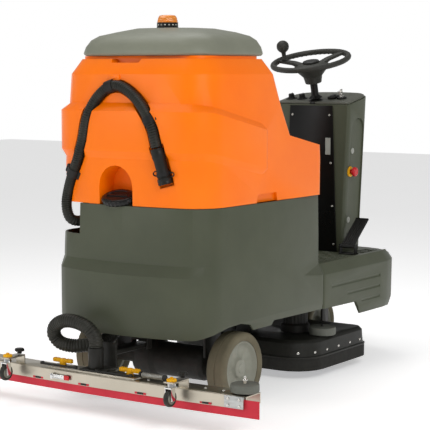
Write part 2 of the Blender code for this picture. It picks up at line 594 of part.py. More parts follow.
PEDAL_X, PEDAL_Y, PEDAL_Z = 0.200, 0.985, DECK_FLOOR + 0.033
PEDAL_L, PEDAL_W, PEDAL_T = 0.160, 0.062, 0.010
PEDAL_RISE = math.radians(39)
for side, word in ((-1, "brake"), (1, "accelerator")):
    at = Vector((side * PEDAL_X, PEDAL_Y, PEDAL_Z))
    frame = Matrix.Translation(at) @ Matrix.Rotation(PEDAL_RISE, 4, "X")
    plate = block((-PEDAL_W / 2, -0.006, 0), (PEDAL_W / 2, PEDAL_L, PEDAL_T), 0.003)
    bmesh.ops.transform(plate, matrix=frame, verts=plate.verts)
    solid(f"{word}_pedal", plate, BLACK, origin=at, turn=PEDAL_RISE)

# Recovery tank -----------------------------------------------------------------------------------
TANK_LOW = SEAM_Z + 0.0015
TANK_LEVELS = [  # height, inset of the sides, rear corner, front, bow
    (TANK_LOW, 0.010, -0.222, 0.545, 0.035),
    (0.855, 0.010, -0.224, 0.547, 0.035),
    (0.904, 0.011, -0.222, 0.545, 0.035),
    (0.947, 0.012, -0.220, 0.332, 0.034),
    (1.060, 0.020, -0.213, 0.279, 0.030),
    (1.172, 0.026, -0.208, 0.235, 0.030),
    (TANK_TOP, 0.054, -0.180, 0.203, 0.026),
]
BULGE_LEVELS = [  # height at the rear, fall towards the front, half width, rear, front
    (0.868, 0.200, 0.331, -0.218, 0.140), (0.904, 0.200, 0.345, -0.236, 0.165),
    (1.044, 0.208, 0.345, -0.236, 0.165), (1.073, 0.200, 0.321, -0.209, 0.145),
]
CAVITY_LEVELS = [  # height, half width, rear, front
    (TANK_LOW + 0.015, 0.318, -0.160, 0.225), (0.870, 0.318, -0.160, 0.225), (0.885, 0.322, -0.200, 0.225),
    (0.985, 0.322, -0.200, 0.225), (1.000, 0.318, -0.200, 0.245), (1.170, 0.300, -0.190, 0.215),
    (TANK_TOP + 0.02, 0.250, -0.150, 0.168),
]
DRAIN_ROUTE = [
    (-0.235, -0.1300, 0.650), (-0.235, -0.1480, 0.650), (-0.240, -0.178, 0.645), (-0.256, -0.208, 0.642),
    (-0.274, -0.226, 0.658), (-0.282, -0.231, 0.709), (-0.257, -0.238, 0.787), (-0.216, -0.248, 0.864),
    (-0.1845, -0.256, 0.935), (-0.1656, -0.253, 1.016), (-0.1307, -0.247, 1.081), (-0.0755, -0.243, 1.126),
    (-0.0178, -0.244, 1.129), (0.0467, -0.249, 1.093), (0.0945, -0.256, 1.045), (0.1286, -0.262, 0.992),
    (0.1425, -0.264, 0.950), (0.150, -0.263, 0.922),
]
WAND_TO = (0.182, -0.252, 0.796)
HOSE_GAP = 0.0025         # between a hose's end and the piece that it plugs onto
ELBOW_REAR = DRAIN_ROUTE[0][1] + HOSE_GAP


def drain_line(radius):
    """The drain hose's tube as a mesh, for the groove that holds it."""
    points = smooth_route(DRAIN_ROUTE, 36)
    guide = bpy.data.objects.new("guide", tube_curve("guide", points, radius))
    bpy.context.scene.collection.objects.link(guide)
    mesh = bpy.data.meshes.new_from_object(guide.evaluated_get(bpy.context.evaluated_depsgraph_get()))
    made = bmesh.new()
    made.from_mesh(mesh)
    bmesh.ops.remove_doubles(made, verts=made.verts, dist=1e-5)
    bmesh.ops.recalc_face_normals(made, faces=made.faces)
    bpy.data.objects.remove(guide)
    return made


wand_from = Vector(DRAIN_ROUTE[-1])
wand_long = (Vector(WAND_TO) - wand_from).length


def on_wand(profile):
    """A turned shape on the straight line that the drain wand follows."""
    shape = turned(profile, sides=20)
    aim = (Vector(WAND_TO) - wand_from).to_track_quat("Z", "Y").to_matrix().to_4x4()
    bmesh.ops.transform(shape, matrix=Matrix.Translation(wand_from) @ aim, verts=shape.verts)
    return shape


TANK_HINGE = (-BODY_HALF + 0.003, 0, SEAM_Z + 0.0008)
rings = [plan(z, BODY_HALF - side, rear, front, CORNER, 0.030, bow) for z, side, rear, front, bow in TANK_LEVELS]
cavity = [plan(z, half, rear, front, 0.060, 0.030) for z, half, rear, front in CAVITY_LEVELS]
bulge = [plan(lambda y, z=z, fall=fall: z - fall * max(0.0, y + 0.20), half, rear, front, CORNER, 0.035, 0.035)
         for z, fall, half, rear, front in BULGE_LEVELS]
neck = [plan(z, 0.276 - inset, -0.172 + inset, 0.192 - inset, 0.070, 0.028)
        for inset, z in ((0.0, TANK_TOP - 0.003), (0.0, TANK_TOP + LID_GAP - CLEAR),
                         (0.020, TANK_TOP + LID_GAP - CLEAR), (0.020, TANK_TOP - 0.003))]
grips = [prism(((0.083, TANK_LOW - 0.01), (0.223, TANK_LOW - 0.01), (0.215, 0.745), (0.090, 0.745)), *reach)
         for reach in ((-0.36, -0.323), (0.323, 0.36))]
solid("recovery_tank", skin(rings), ORANGE, origin=TANK_HINGE,
      join=[block((-0.262, ELBOW_REAR, 0.628), (-0.208, ELBOW_REAR + 0.045, TANK_LOW + 0.005)), skin(bulge),
            skin(neck, loop=True)],
      cut=[
          skin(cavity),
          block((-SEAT_HALF, 0.240, SEAT_FLOOR), (SEAT_HALF, BODY_FRONT + 0.06, 0.970)),
          drain_line(DRAIN_R + 0.0065),
          on_wand([(0, -0.008), (0.0305, -0.008), (0.0305, wand_long + 0.010), (0, wand_long + 0.010)]),
          skin([[(RECESS_X + x, y, z) for x, z in
                 [(-RECESS_HALF, TANK_LOW - 0.02), (RECESS_HALF, TANK_LOW - 0.02)]
                 + [(RECESS_HALF * math.cos(t), RECESS_TOP - RECESS_HALF * (1 - math.sin(t)))
                    for t in (math.pi * k / 10 for k in range(11))]] for y in (-0.32, -0.172)]),
          skin([[(x, y, z) for x, z in ((-0.084, TANK_TOP - 0.014), (0.036, TANK_TOP - 0.014),
                                        (0.054, TANK_TOP + 0.02), (-0.102, TANK_TOP + 0.02))] for y in (-0.30, -0.172)]),
      ] + grips)
LID_LOW = TANK_TOP + LID_GAP
LID_TOP = LID_LOW + LID_HEIGHT
LID_LEVELS = [  # height over the lid's edge, inset of the sides, inset of the rear, inset of the front
    (0.000, 0.006, 0.006, 0.004), (0.008, 0.000, 0.000, 0.000), (0.032, 0.007, 0.007, 0.002),
    (0.056, 0.022, 0.022, 0.008), (0.072, 0.045, 0.045, 0.018), (0.086, 0.095, 0.095, 0.035),
    (LID_HEIGHT, 0.160, 0.140, 0.075),
]
LID_HALF, LID_REAR, LID_FRONT = 0.288, -0.184, 0.224
LID_HINGE = (0, LID_FRONT - 0.004, LID_LOW)


def lid_ring(level, inset=0.0, drop=0.0):
    up, side, rear, front = level
    return plan(LID_LOW + up - drop, LID_HALF - side - inset, LID_REAR + rear + inset, LID_FRONT - front - inset,
                0.105 - side * 0.3, 0.040, 0.024)


solid("tank_lid", skin([lid_ring(LID_LEVELS[5], 0.004, 0.008), lid_ring(LID_LEVELS[4], 0.004, 0.006),
                        lid_ring(LID_LEVELS[2], 0.008), lid_ring(LID_LEVELS[0], 0.008)] + [lid_ring(level) for level in LID_LEVELS]),
      LID_GREY, origin=LID_HINGE)
BEACON_Y, BEACON_R = 0.006, 0.039
solid("beacon_base", rod(BEACON_R, LID_TOP + CLEAR, LID_TOP + 0.020, "Z", (0, BEACON_Y, 0), 28), BLACK, origin=LID_HINGE)
solid("beacon_lens", turned([(0, LID_TOP + 0.0206), (BEACON_R, LID_TOP + 0.0206), (BEACON_R, LID_TOP + 0.031),
                             (BEACON_R * 0.92, LID_TOP + 0.040), (BEACON_R * 0.60, LID_TOP + 0.047),
                             (0, LID_TOP + 0.048)], "Z", (0, BEACON_Y, 0), 28), AMBER, origin=LID_HINGE)

# Seat --------------------------------------------------------------------------------------------
PAN_REST = SEAT_FLOOR + 0.004
SEAT_AT = (0, 0.40, PAN_REST)
solid("seat_pan", block((-0.190, 0.300, PAN_REST), (0.190, 0.590, PAN_REST + 0.012), 0.003), BLACK, origin=SEAT_AT)
solid("seat_cushion", block((-0.215, 0.262, PAN_REST + 0.016), (0.215, 0.605, PAN_REST + 0.088), 0.018, 2), VINYL,
      origin=SEAT_AT)
lean = (TANK_LEVELS[-1][3] - TANK_LEVELS[3][3]) / (TANK_TOP - TANK_LEVELS[3][0])


def back_front(z):
    return TANK_LEVELS[3][3] + lean * (z - TANK_LEVELS[3][0])


BACK_LOW, BACK_HIGH, BACK_T = PAN_REST + 0.094, 1.190, 0.062
solid("seat_back", skin([plan(z, 0.205 - inset, back_front(z) + 0.010 + inset, back_front(z) + BACK_T - inset, 0.008, 0.014,
                              steps=2, spans=2)
                         for z, inset in ((BACK_LOW, 0.012), (BACK_LOW + 0.020, 0.0), (BACK_HIGH - 0.030, 0.0),
                                          (BACK_HIGH, 0.014))]), VINYL, origin=SEAT_AT)

# Filler cap --------------------------------------------------------------------------------------
solid("filler_cap", on_neck([(0, -CAP_T / 2), (CAP_A * 0.92, -CAP_T / 2), (CAP_A, -CAP_T / 4), (CAP_A, CAP_T / 8),
                             (CAP_A * 0.85, CAP_T / 2), (0, CAP_T / 2)]), BLACK, origin=CAP_HINGE)

# Drain hose --------------------------------------------------------------------------------------
place("drain_hose", tube_curve("drain_hose", smooth_route(DRAIN_ROUTE, 52), DRAIN_R), DARK_RUBBER)
WAND_NECK, WAND_TUBE, WAND_FOOT = 0.0235, 0.0215, 0.026
solid("drain_wand", on_wand([(0, HOSE_GAP), (WAND_NECK, HOSE_GAP), (WAND_NECK, 0.040), (WAND_TUBE, 0.042),
                             (WAND_TUBE, wand_long - 0.022), (WAND_FOOT, wand_long - 0.020), (WAND_FOOT, wand_long),
                             (0, wand_long)]), BLACK)
# Squeegee ----------------------------------------------------------------------------------------


def rail_y(x):
    return RAIL_Y + RAIL_SWEEP * (x / RAIL_HALF) ** 2


def along(half, count=14):
    return [(x, rail_y(x)) for x in (-half + 2 * half * k / count for k in range(count + 1))]


def bar(low, high, near, far):
    """The outline of a flat bar that stands between two distances in front of the rail's rear face."""
    return [(near, low), (near, high), (far, high), (far, low)]


SWING = (CUFF_X, CUFF_Y, 0)
back = STRAP_T + BLADE_T + 3 * CLEAR          # the channel stands in front of the strap and the rear blade
front = back + RAIL_DEPTH
T = 0.004
channel = [(back, RAIL_LOW), (back, RAIL_HIGH), (front, RAIL_HIGH), (front, RAIL_LOW + 0.004),
           (front - T, RAIL_LOW + 0.004), (front - T, RAIL_HIGH - T), (back + T, RAIL_HIGH - T), (back + T, RAIL_LOW)]
PLATE_TOP = RAIL_HIGH + 0.006
ARM_Z = 0.166
swivel_y = rail_y(CASTER_X) - 0.044
fittings = [block((CUFF_X - 0.195, CUFF_Y - 0.034, RAIL_HIGH - 0.002), (CUFF_X + 0.195, CUFF_Y + 0.030, PLATE_TOP))]
for side in (-1, 1):
    x = side * CASTER_X
    fittings.append(block((x - 0.020, rail_y(x) + back + 0.012, RAIL_HIGH - 0.002),
                          (x + 0.020, rail_y(x) + back + 0.017, ARM_Z + 0.004)))
    fittings.append(block((x - 0.020, swivel_y - 0.018, ARM_Z), (x + 0.020, rail_y(x) + back + 0.017, ARM_Z + 0.005)))
    fittings.append(rod(0.005, RAIL_HIGH - 0.002, 0.184, "Z", (side * END_ROLLER_X, rail_y(END_ROLLER_X) + 0.045, 0), 12))
solid("squeegee_body", swept(channel, along(RAIL_HALF)), STEEL, join=fittings,
      cut=[rod(0.021, RAIL_LOW, 0.20, "Z", (CUFF_X, CUFF_Y, 0))], origin=SWING)
solid("rear_blade", swept(bar(BLADE_LOW, RAIL_HIGH - 0.010, STRAP_T + CLEAR, STRAP_T + CLEAR + BLADE_T), along(BLADE_HALF)),
      RED_RUBBER, origin=SWING)
solid("front_blade", swept(bar(BLADE_LOW + 0.003, RAIL_HIGH - 0.012, front + CLEAR, front + CLEAR + BLADE_T),
                           along(RAIL_HALF - 0.010)), RED_RUBBER, origin=SWING)
solid("blade_strap", swept(bar(RAIL_LOW, RAIL_HIGH, 0.0, STRAP_T), along(RAIL_HALF - 0.004)), STEEL, origin=SWING)
LATCH_X = -0.190
latch_y = rail_y(LATCH_X)
solid("strap_latch", block((LATCH_X, latch_y - 0.010, 0.108), (LATCH_X + 0.085, latch_y - 0.002, 0.128), 0.003),
      CHROME, origin=(LATCH_X, latch_y - 0.004, 0.118))
for side, word in ((-1, "left"), (1, "right")):
    x = CUFF_X + side * 0.150
    solid(f"wing_knob_{word}", rod(0.013, PLATE_TOP + CLEAR, PLATE_TOP + 0.020, "Z", (x, CUFF_Y, 0), 14), YELLOW,
          join=[block((x - 0.044, CUFF_Y - 0.008, PLATE_TOP + 0.010), (x + 0.044, CUFF_Y + 0.008, PLATE_TOP + 0.026), 0.004)],
          origin=(x, CUFF_Y, PLATE_TOP))
    x = side * CASTER_X
    wheel = (x, swivel_y - CASTER_TRAIL, BLADE_LOW + CASTER_UP + CASTER_R)
    leg = CASTER_W / 2 + 0.0015
    solid(f"caster_fork_{word}", block((x - leg - 0.003, wheel[1] - 0.012, 0.1485), (x + leg + 0.003, swivel_y + 0.013, 0.153)),
          CHROME, origin=(x, swivel_y, 0),
          join=[rod(0.014, 0.152, ARM_Z - CLEAR, "Z", (x, swivel_y, 0), 16)]
          + [block((min(x + s * leg, x + s * (leg + 0.0025)), wheel[1] - 0.010, wheel[2] - 0.009),
                   (max(x + s * leg, x + s * (leg + 0.0025)), wheel[1] + 0.012, 0.150)) for s in (-1, 1)])
    solid(f"caster_wheel_{word}", turned(tyre_outline(CASTER_R, CASTER_W, 0.004)[:4] + [(0.004, CASTER_W / 2), (0.004, -CASTER_W / 2)],
                                         "X", wheel, 24), DARK_RUBBER, origin=wheel)
    at = (side * END_ROLLER_X, rail_y(END_ROLLER_X) + 0.045, RAIL_HIGH + 0.007)
    solid(f"end_roller_{word}", turned([(0.0058, 0), (END_ROLLER_R - 0.004, 0), (END_ROLLER_R, 0.004),
                                        (END_ROLLER_R, END_ROLLER_T - 0.004), (END_ROLLER_R - 0.004, END_ROLLER_T),
                                        (0.0058, END_ROLLER_T)], "Z", at, 28), TYRE, origin=at)

# Squeegee lift -----------------------------------------------------------------------------------
HOLDER_LOW = PLATE_TOP + 0.0015
holder_y = CUFF_Y + 0.062
solid("squeegee_holder", block((CUFF_X - 0.046, CUFF_Y - 0.036, HOLDER_LOW), (CUFF_X + 0.046, holder_y, HOLDER_LOW + 0.006)), FRAME_PAINT,
      join=[block((CUFF_X - 0.046, holder_y - 0.008, HOLDER_LOW), (CUFF_X + 0.046, holder_y, 0.236))],
      cut=[rod(CUFF_R + CLEAR, HOLDER_LOW - 0.02, HOLDER_LOW + 0.02, "Z", (CUFF_X, CUFF_Y, 0), 24)])
solid("suction_cuff", pipe(CUFF_R, 0.020, PLATE_TOP + CLEAR / 2, CUFF_TOP, "Z", (CUFF_X, CUFF_Y, 0), 24), BLACK)
solid("lift_link", block((CUFF_X - LINK_HALF, holder_y + 0.003, LINK_Z - LINK_T / 2),
                         (CUFF_X + LINK_HALF, LINK_Y + 0.010, LINK_Z + LINK_T / 2), 0.002),
      FRAME_PAINT, origin=(CUFF_X, LINK_Y, LINK_Z))
VACUUM_ROUTE = [Vector((CUFF_X, CUFF_Y, 0)) + Vector(step) for step in (
    (0.000, 0.000, CUFF_TOP + HOSE_GAP), (0.000, 0.000, 0.250), (-0.010, -0.003, 0.274), (-0.042, -0.006, 0.298),
    (-0.092, -0.008, 0.310), (-0.142, -0.006, 0.306), (-0.184, 0.000, 0.283), (-0.197, 0.008, 0.250),
    (-0.176, 0.018, 0.222), (-0.138, 0.034, 0.212), (-0.105, 0.056, 0.213), (-0.080, 0.092, 0.216),
    (-0.066, 0.143, 0.226), (-0.060, 0.177, 0.250), (-0.060, 0.191, 0.284), (-0.060, 0.191, PAN_TOP - PAN_T - HOSE_GAP))]
place("vacuum_hose", tube_curve("vacuum_hose", smooth_route(VACUUM_ROUTE, 34), VACUUM_R), DARK_RUBBER)

# Brush deck --------------------------------------------------------------------------------------
HOUSING_T = 0.005


def housing_ring(z, inset):
    return plan(z, BRUSH_DECK_HALF - inset, BRUSH_DECK_REAR + inset, BRUSH_DECK_FRONT - inset, 0.120 - inset, 0.055 - inset,
                steps=5, spans=3)


HOUSING_LOW = 0.050
LIP = 0.0075              # the housing's lip, over the skirt
SHAFT_R = 0.020
risers = [block((-0.030, 0.500, BRUSH_DECK_TOP - 0.002), (0.030, 0.560, DECK_LINK_Z - LINK_T / 2 - 0.004))]
roller_x, roller_y, roller_r, roller_t = DECK_ROLLER
for side in (-1, 1):
    risers.append(rod(0.006, BRUSH_DECK_TOP - 0.002, BRUSH_DECK_TOP + roller_t + 0.010, "Z", (side * roller_x, roller_y, 0), 12))
solid("brush_deck", skin([housing_ring(BRUSH_DECK_TOP - HOUSING_T, 0.022), housing_ring(BRUSH_DECK_TOP - 0.014, HOUSING_T + 0.002),
                          housing_ring(HOUSING_LOW, HOUSING_T), housing_ring(HOUSING_LOW, 0.0),
                          housing_ring(SKIRT_HIGH + CLEAR, 0.0), housing_ring(SKIRT_HIGH + CLEAR, -LIP),
                          housing_ring(SKIRT_HIGH + 0.008, -LIP), housing_ring(SKIRT_HIGH + 0.009, 0.0),
                          housing_ring(BRUSH_DECK_TOP - 0.012, 0.004), housing_ring(BRUSH_DECK_TOP, 0.016)]), BLACK,
      join=risers, cut=[rod(SHAFT_R + 0.003, 0.10, 0.20, "Z", (*spot, 0)) for spot in BRUSHES.values()])
solid("deck_skirt", skin([housing_ring(z, -inset) for inset, z in
                          ((CLEAR, SKIRT_LOW), (0.006, SKIRT_LOW), (0.006, SKIRT_HIGH), (CLEAR, SKIRT_HIGH))], loop=True), DARK_RUBBER)
for word, spot in BRUSHES.items():
    solid(f"brush_{word}", turned([(0, 0.078), (0.060, 0.078), (0.075, BRUSH_LOW), (BRUSH_R, BRUSH_LOW), (BRUSH_R - 0.006, 0.078),
                                   (BRUSH_R - 0.012, 0.092), (0.030, 0.094), (SHAFT_R, 0.100),
                                   (SHAFT_R, BRUSH_DECK_TOP + CLEAR), (0, BRUSH_DECK_TOP + CLEAR)], "Z", (*spot, 0), 28),
          BRISTLE, origin=(*spot, 0))
    solid(f"brush_motor_{word}", turned([(0, BRUSH_DECK_TOP + 3 * CLEAR), (0.058, BRUSH_DECK_TOP + 3 * CLEAR),
                                         (0.058, 0.185), (0.050, 0.190), (0.050, 0.255), (0.040, 0.262), (0, 0.262)],
                                        "Z", (*spot, 0), 24), BLACK)
for side, word in ((-1, "left"), (1, "right")):
    at = (side * roller_x, roller_y, BRUSH_DECK_TOP + 0.002)
    solid(f"deck_roller_{word}", turned([(0.0066, 0), (roller_r - 0.004, 0), (roller_r, 0.004), (roller_r, roller_t - 0.004),
                                         (roller_r - 0.004, roller_t), (0.0066, roller_t)], "Z", at, 28), TYRE, origin=at)
solid("deck_link", block((-DECK_LINK_HALF, DECK_LINK_Y - 0.010, DECK_LINK_Z - LINK_T / 2),
                         (DECK_LINK_HALF, 0.550, DECK_LINK_Z + LINK_T / 2), 0.002),
      FRAME_PAINT, origin=(0, DECK_LINK_Y, DECK_LINK_Z))

# Origin under the middle of the machine's box ----------------------------------------------------
bpy.context.view_layer.update()
graph = bpy.context.evaluated_depsgraph_get()
reach = [(made.matrix_world @ Vector(corner)).y
         for made in bpy.data.objects if made.type == "MESH" and not made.hide_render
         for corner in made.evaluated_get(graph).bound_box]
ROOT.location.y = -(min(reach) + max(reach)) / 2
bpy.context.view_layer.update()
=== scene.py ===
import math

import bmesh
import bpy
from mathutils import Matrix, Vector


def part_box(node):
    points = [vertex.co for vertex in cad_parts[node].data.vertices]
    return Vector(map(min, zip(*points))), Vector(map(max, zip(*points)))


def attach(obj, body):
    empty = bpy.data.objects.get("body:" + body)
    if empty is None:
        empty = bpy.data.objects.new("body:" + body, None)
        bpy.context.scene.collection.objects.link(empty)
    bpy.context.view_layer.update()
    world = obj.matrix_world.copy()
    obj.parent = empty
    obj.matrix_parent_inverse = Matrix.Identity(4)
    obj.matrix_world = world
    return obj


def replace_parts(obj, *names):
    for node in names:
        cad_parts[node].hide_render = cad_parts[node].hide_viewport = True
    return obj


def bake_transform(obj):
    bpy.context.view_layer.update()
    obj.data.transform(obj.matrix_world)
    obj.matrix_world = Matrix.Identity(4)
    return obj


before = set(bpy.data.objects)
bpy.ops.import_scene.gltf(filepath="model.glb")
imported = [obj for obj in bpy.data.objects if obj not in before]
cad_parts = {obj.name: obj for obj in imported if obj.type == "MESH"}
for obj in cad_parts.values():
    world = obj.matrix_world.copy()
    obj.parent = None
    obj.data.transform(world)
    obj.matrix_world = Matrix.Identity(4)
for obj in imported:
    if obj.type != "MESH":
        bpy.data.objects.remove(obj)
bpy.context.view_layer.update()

# The camera stands behind the machine on its right, a little above the tank. Places below are
# written from the rear axle: x to the driver's right, y forward and z up from the floor.
tyre_low, tyre_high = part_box("rear_tyre_right")
axle_y = (tyre_low[1] + tyre_high[1]) / 2


def at(x, y, z):
    return Vector((x, y + axle_y, z))


camera = bpy.data.objects.new("camera", bpy.data.cameras.new("camera"))
camera.data.lens, camera.data.sensor_width = 121.7, 36.0
camera.location = at(3.145, -4.242, 1.187)
camera.rotation_euler = (math.radians(84.3), 0, math.radians(34.66))
bpy.context.scene.collection.objects.link(camera)
bpy.context.scene.camera = camera

# A plain studio: a pale floor under a white dome, a broad key light on the camera's right and
# a long soft light over the top, so that the glossy mouldings show wide, quiet reflections.
world = bpy.data.worlds.new("studio")
world.use_nodes = True
sky = world.node_tree
direction, height = sky.nodes.new("ShaderNodeTexCoord"), sky.nodes.new("ShaderNodeSeparateXYZ")
falloff = sky.nodes.new("ShaderNodeMapRange")
for socket, value in (("From Min", 0.06), ("From Max", 0.16), ("To Min", 1.0), ("To Max", 0.34)):
    falloff.inputs[socket].default_value = value
sky.links.new(direction.outputs["Generated"], height.inputs["Vector"])
sky.links.new(height.outputs["Z"], falloff.inputs["Value"])
sky.links.new(falloff.outputs["Result"], sky.nodes["Background"].inputs["Strength"])
sky.nodes["Background"].inputs["Color"].default_value = (1.0, 1.0, 1.0, 1.0)
bpy.context.scene.world = world
bpy.context.scene.view_settings.view_transform = "Standard"


def studio_light(name, place, aim, size, watts):
    lamp = bpy.data.objects.new(name, bpy.data.lights.new(name, "AREA"))
    lamp.data.shape, lamp.data.size, lamp.data.size_y = "RECTANGLE", *size
    lamp.data.energy = watts
    lamp.location = place
    lamp.rotation_euler = (aim - place).to_track_quat("-Z", "Y").to_euler()
    bpy.context.scene.collection.objects.link(lamp)


studio_light("key_light", at(3.2, -1.6, 3.0), at(0, 0.2, 0.6), (2.2, 1.6), 62)
studio_light("top_light", at(-0.8, 0.6, 3.6), at(0, 0.3, 0.8), (3.0, 2.0), 50)
studio_light("rear_light", at(-1.8, -3.2, 1.8), at(0, -0.2, 0.6), (1.6, 1.4), 22)


def srgb(red, green, blue):
    """A colour as a swatch gives it, from 0 to 255, as the linear colour that a shader takes."""
    return tuple((c / 255 / 12.92) if c / 255 <= 0.04045 else ((c / 255 + 0.055) / 1.055) ** 2.4
                 for c in (red, green, blue))


def node_kit(name):
    """A new node material, and short ways to add a node and to join two sockets."""
    made = bpy.data.materials.new(name)
    made.use_nodes = True
    tree = made.node_tree

    def add(kind, **values):
        node = tree.nodes.new(kind)
        for key, value in values.items():
            if hasattr(node, key):
                setattr(node, key, value)
            else:
                node.inputs[key.replace("_", " ")].default_value = value
        return node

    def join(source, target):
        tree.links.new(source, target)

    return made, tree.nodes["Principled BSDF"], add, join


def finish_of(name, colour, second, rough, patch=5.0, grain=700.0, relief=0.3, metallic=0.0, coat=0.0,
              spread=0.12, stretch=(1, 1, 1), dirt=0.0, dirt_colour=(0.10, 0.095, 0.08)):
    """A moulded, painted or drawn surface. Its colour drifts in soft patches between two shades, a
    fine grain breaks up the gloss, and dust may lie low on it."""
    made, shader, add, join = node_kit(name)
    shader.inputs["Metallic"].default_value = metallic
    shader.inputs["Coat Weight"].default_value = coat
    shader.inputs["Coat Roughness"].default_value = 0.2
    shader.inputs["Specular IOR Level"].default_value = 0.5 if metallic else 0.22
    where = add("ShaderNodeTexCoord")
    spread_out = add("ShaderNodeMapping", Scale=stretch)
    join(where.outputs["Object"], spread_out.inputs["Vector"])
    patches = add("ShaderNodeTexNoise", Scale=patch, Detail=5.0, Roughness=0.6)
    join(spread_out.outputs["Vector"], patches.inputs["Vector"])
    blend = add("ShaderNodeMix", data_type="RGBA")
    blend.inputs[6].default_value = (*colour, 1.0)
    blend.inputs[7].default_value = (*second, 1.0)
    contrast = add("ShaderNodeMapRange", From_Min=0.35, From_Max=0.68)
    join(patches.outputs["Fac"], contrast.inputs["Value"])
    join(contrast.outputs["Result"], blend.inputs[0])
    shade = blend.outputs[2]
    if dirt:
        place = add("ShaderNodeSeparateXYZ")
        join(where.outputs["Object"], place.inputs["Vector"])
        low = add("ShaderNodeMapRange", From_Min=0.02, From_Max=0.45, To_Min=dirt, To_Max=0.0)
        join(place.outputs["Z"], low.inputs["Value"])
        specks = add("ShaderNodeTexNoise", Scale=38.0, Detail=8.0, Roughness=0.7)
        join(where.outputs["Object"], specks.inputs["Vector"])
        amount = add("ShaderNodeMath", operation="MULTIPLY")
        join(low.outputs["Result"], amount.inputs[0])
        join(specks.outputs["Fac"], amount.inputs[1])
        dusty = add("ShaderNodeMix", data_type="RGBA")
        dusty.inputs[7].default_value = (*dirt_colour, 1.0)
        join(shade, dusty.inputs[6])
        join(amount.outputs["Value"], dusty.inputs[0])
        shade = dusty.outputs[2]
    join(shade, shader.inputs["Base Color"])
    fine = add("ShaderNodeTexNoise", Scale=grain, Detail=3.0)
    join(spread_out.outputs["Vector"], fine.inputs["Vector"])
    gloss = add("ShaderNodeMapRange", To_Min=max(0.03, rough - spread), To_Max=min(1.0, rough + spread))
    join(patches.outputs["Fac"], gloss.inputs["Value"])
    join(gloss.outputs["Result"], shader.inputs["Roughness"])
    bump = add("ShaderNodeBump", Strength=relief, Distance=0.0004)
    join(fine.outputs["Fac"], bump.inputs["Height"])
    join(bump.outputs["Normal"], shader.inputs["Normal"])
    return made


floor_mesh = bmesh.new()
bmesh.ops.create_grid(floor_mesh, x_segments=8, y_segments=8, size=14.0)
floor = bpy.data.objects.new("floor", bpy.data.meshes.new("floor"))
floor_mesh.to_mesh(floor.data)
floor_mesh.free()
pale_floor = finish_of("pale_floor", srgb(250, 250, 250), srgb(247, 247, 247), 0.85, patch=0.6, grain=40.0,
                       relief=0.02)
pale_floor.node_tree.nodes["Principled BSDF"].inputs["Emission Color"].default_value = (1.0, 1.0, 1.0, 1.0)
pale_floor.node_tree.nodes["Principled BSDF"].inputs["Emission Strength"].default_value = 0.42
floor.data.materials.append(pale_floor)
bpy.context.scene.collection.objects.link(floor)


# The drain hose is a black corrugated tube from an elbow under the tank's left corner. It climbs
# the tank's rear in a moulded channel, turns over in an arc and hangs into a smooth rigid wand.
def smooth_route(points, count):
    """Evenly spaced points on a smooth curve through the given ones."""
    knots = [Vector(p) for p in points]
    knots = [2 * knots[0] - knots[1]] + knots + [2 * knots[-1] - knots[-2]]
    fine = []
    for a, b, c, d in zip(knots, knots[1:], knots[2:], knots[3:]):
        for k in range(40):
            t = k / 40
            fine.append(0.5 * (2 * b + (c - a) * t + (2 * a - 5 * b + 4 * c - d) * t**2
                               + (3 * b - a - 3 * c + d) * t**3))
    fine.append(knots[-2])
    reach = [0.0]
    for one, two in zip(fine, fine[1:]):
        reach.append(reach[-1] + (two - one).length)
    spaced, i = [], 0
    for k in range(count):
        goal = reach[-1] * k / (count - 1)
        while i < len(fine) - 2 and reach[i + 1] < goal:
            i += 1
        span = reach[i + 1] - reach[i]
        spaced.append(fine[i].lerp(fine[i + 1], (goal - reach[i]) / span if span else 0.0))
    return spaced


def route_length(points):
    return sum((two - one).length for one, two in zip(points, points[1:]))


def carried(points):
    """(place, across, up) at each point of a route, turning as little as possible along it."""
    found, up = [], None
    for i, point in enumerate(points):
        ahead = (points[min(i + 1, len(points) - 1)] - points[max(i - 1, 0)]).normalized()
        if up is None:
            up = ahead.orthogonal().normalized()
        up = (up - ahead * up.dot(ahead)).normalized()
        found.append((point, ahead.cross(up), up))
    return found


def skinned(form, rows, count, shut=True):
    """Faces between neighbouring rings. A ring of one point makes a pole."""
    for one, two in zip(rows, rows[1:] + rows[:1] if shut else rows[1:]):
        for k in range(count):
            j = (k + 1) % count
            corners = dict.fromkeys((one[k % len(one)], one[j % len(one)], two[j % len(two)],
                                     two[k % len(two)]))
            if len(corners) > 2:
                form.faces.new(list(corners))


def tube_on(points, radius_at, sides=24):
    """A closed tube on a route. radius_at gives its radius at each distance along it."""
    made = bmesh.new()
    rows, gone = [], 0.0
    for i, (point, across, up) in enumerate(carried(points)):
        gone += (points[i] - points[i - 1]).length if i else 0.0
        radius = radius_at(gone)
        rows.append([made.verts.new(point + (across * math.cos(t) + up * math.sin(t)) * radius)
                     for t in (2 * math.pi * k / sides for k in range(sides))])
    skinned(made, rows, sides, shut=False)
    made.faces.new(rows[0][::-1])
    made.faces.new(rows[-1])
    bmesh.ops.recalc_face_normals(made, faces=made.faces)
    return made


def piece(name, form, material, body=None, sharp=35, smooth=True):
    """One finished piece from a bmesh that is already in its place, riding on a body."""
    mesh = bpy.data.meshes.new(name)
    bmesh.ops.recalc_face_normals(form, faces=form.faces)
    form.to_mesh(mesh)
    form.free()
    if smooth:
        mesh.shade_smooth()
        mesh.set_sharp_from_angle(angle=math.radians(sharp))
    made = bpy.data.objects.new(name, mesh)
    mesh.materials.append(material)
    bpy.context.scene.collection.objects.link(made)
    if body:
        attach(made, body)
    return made


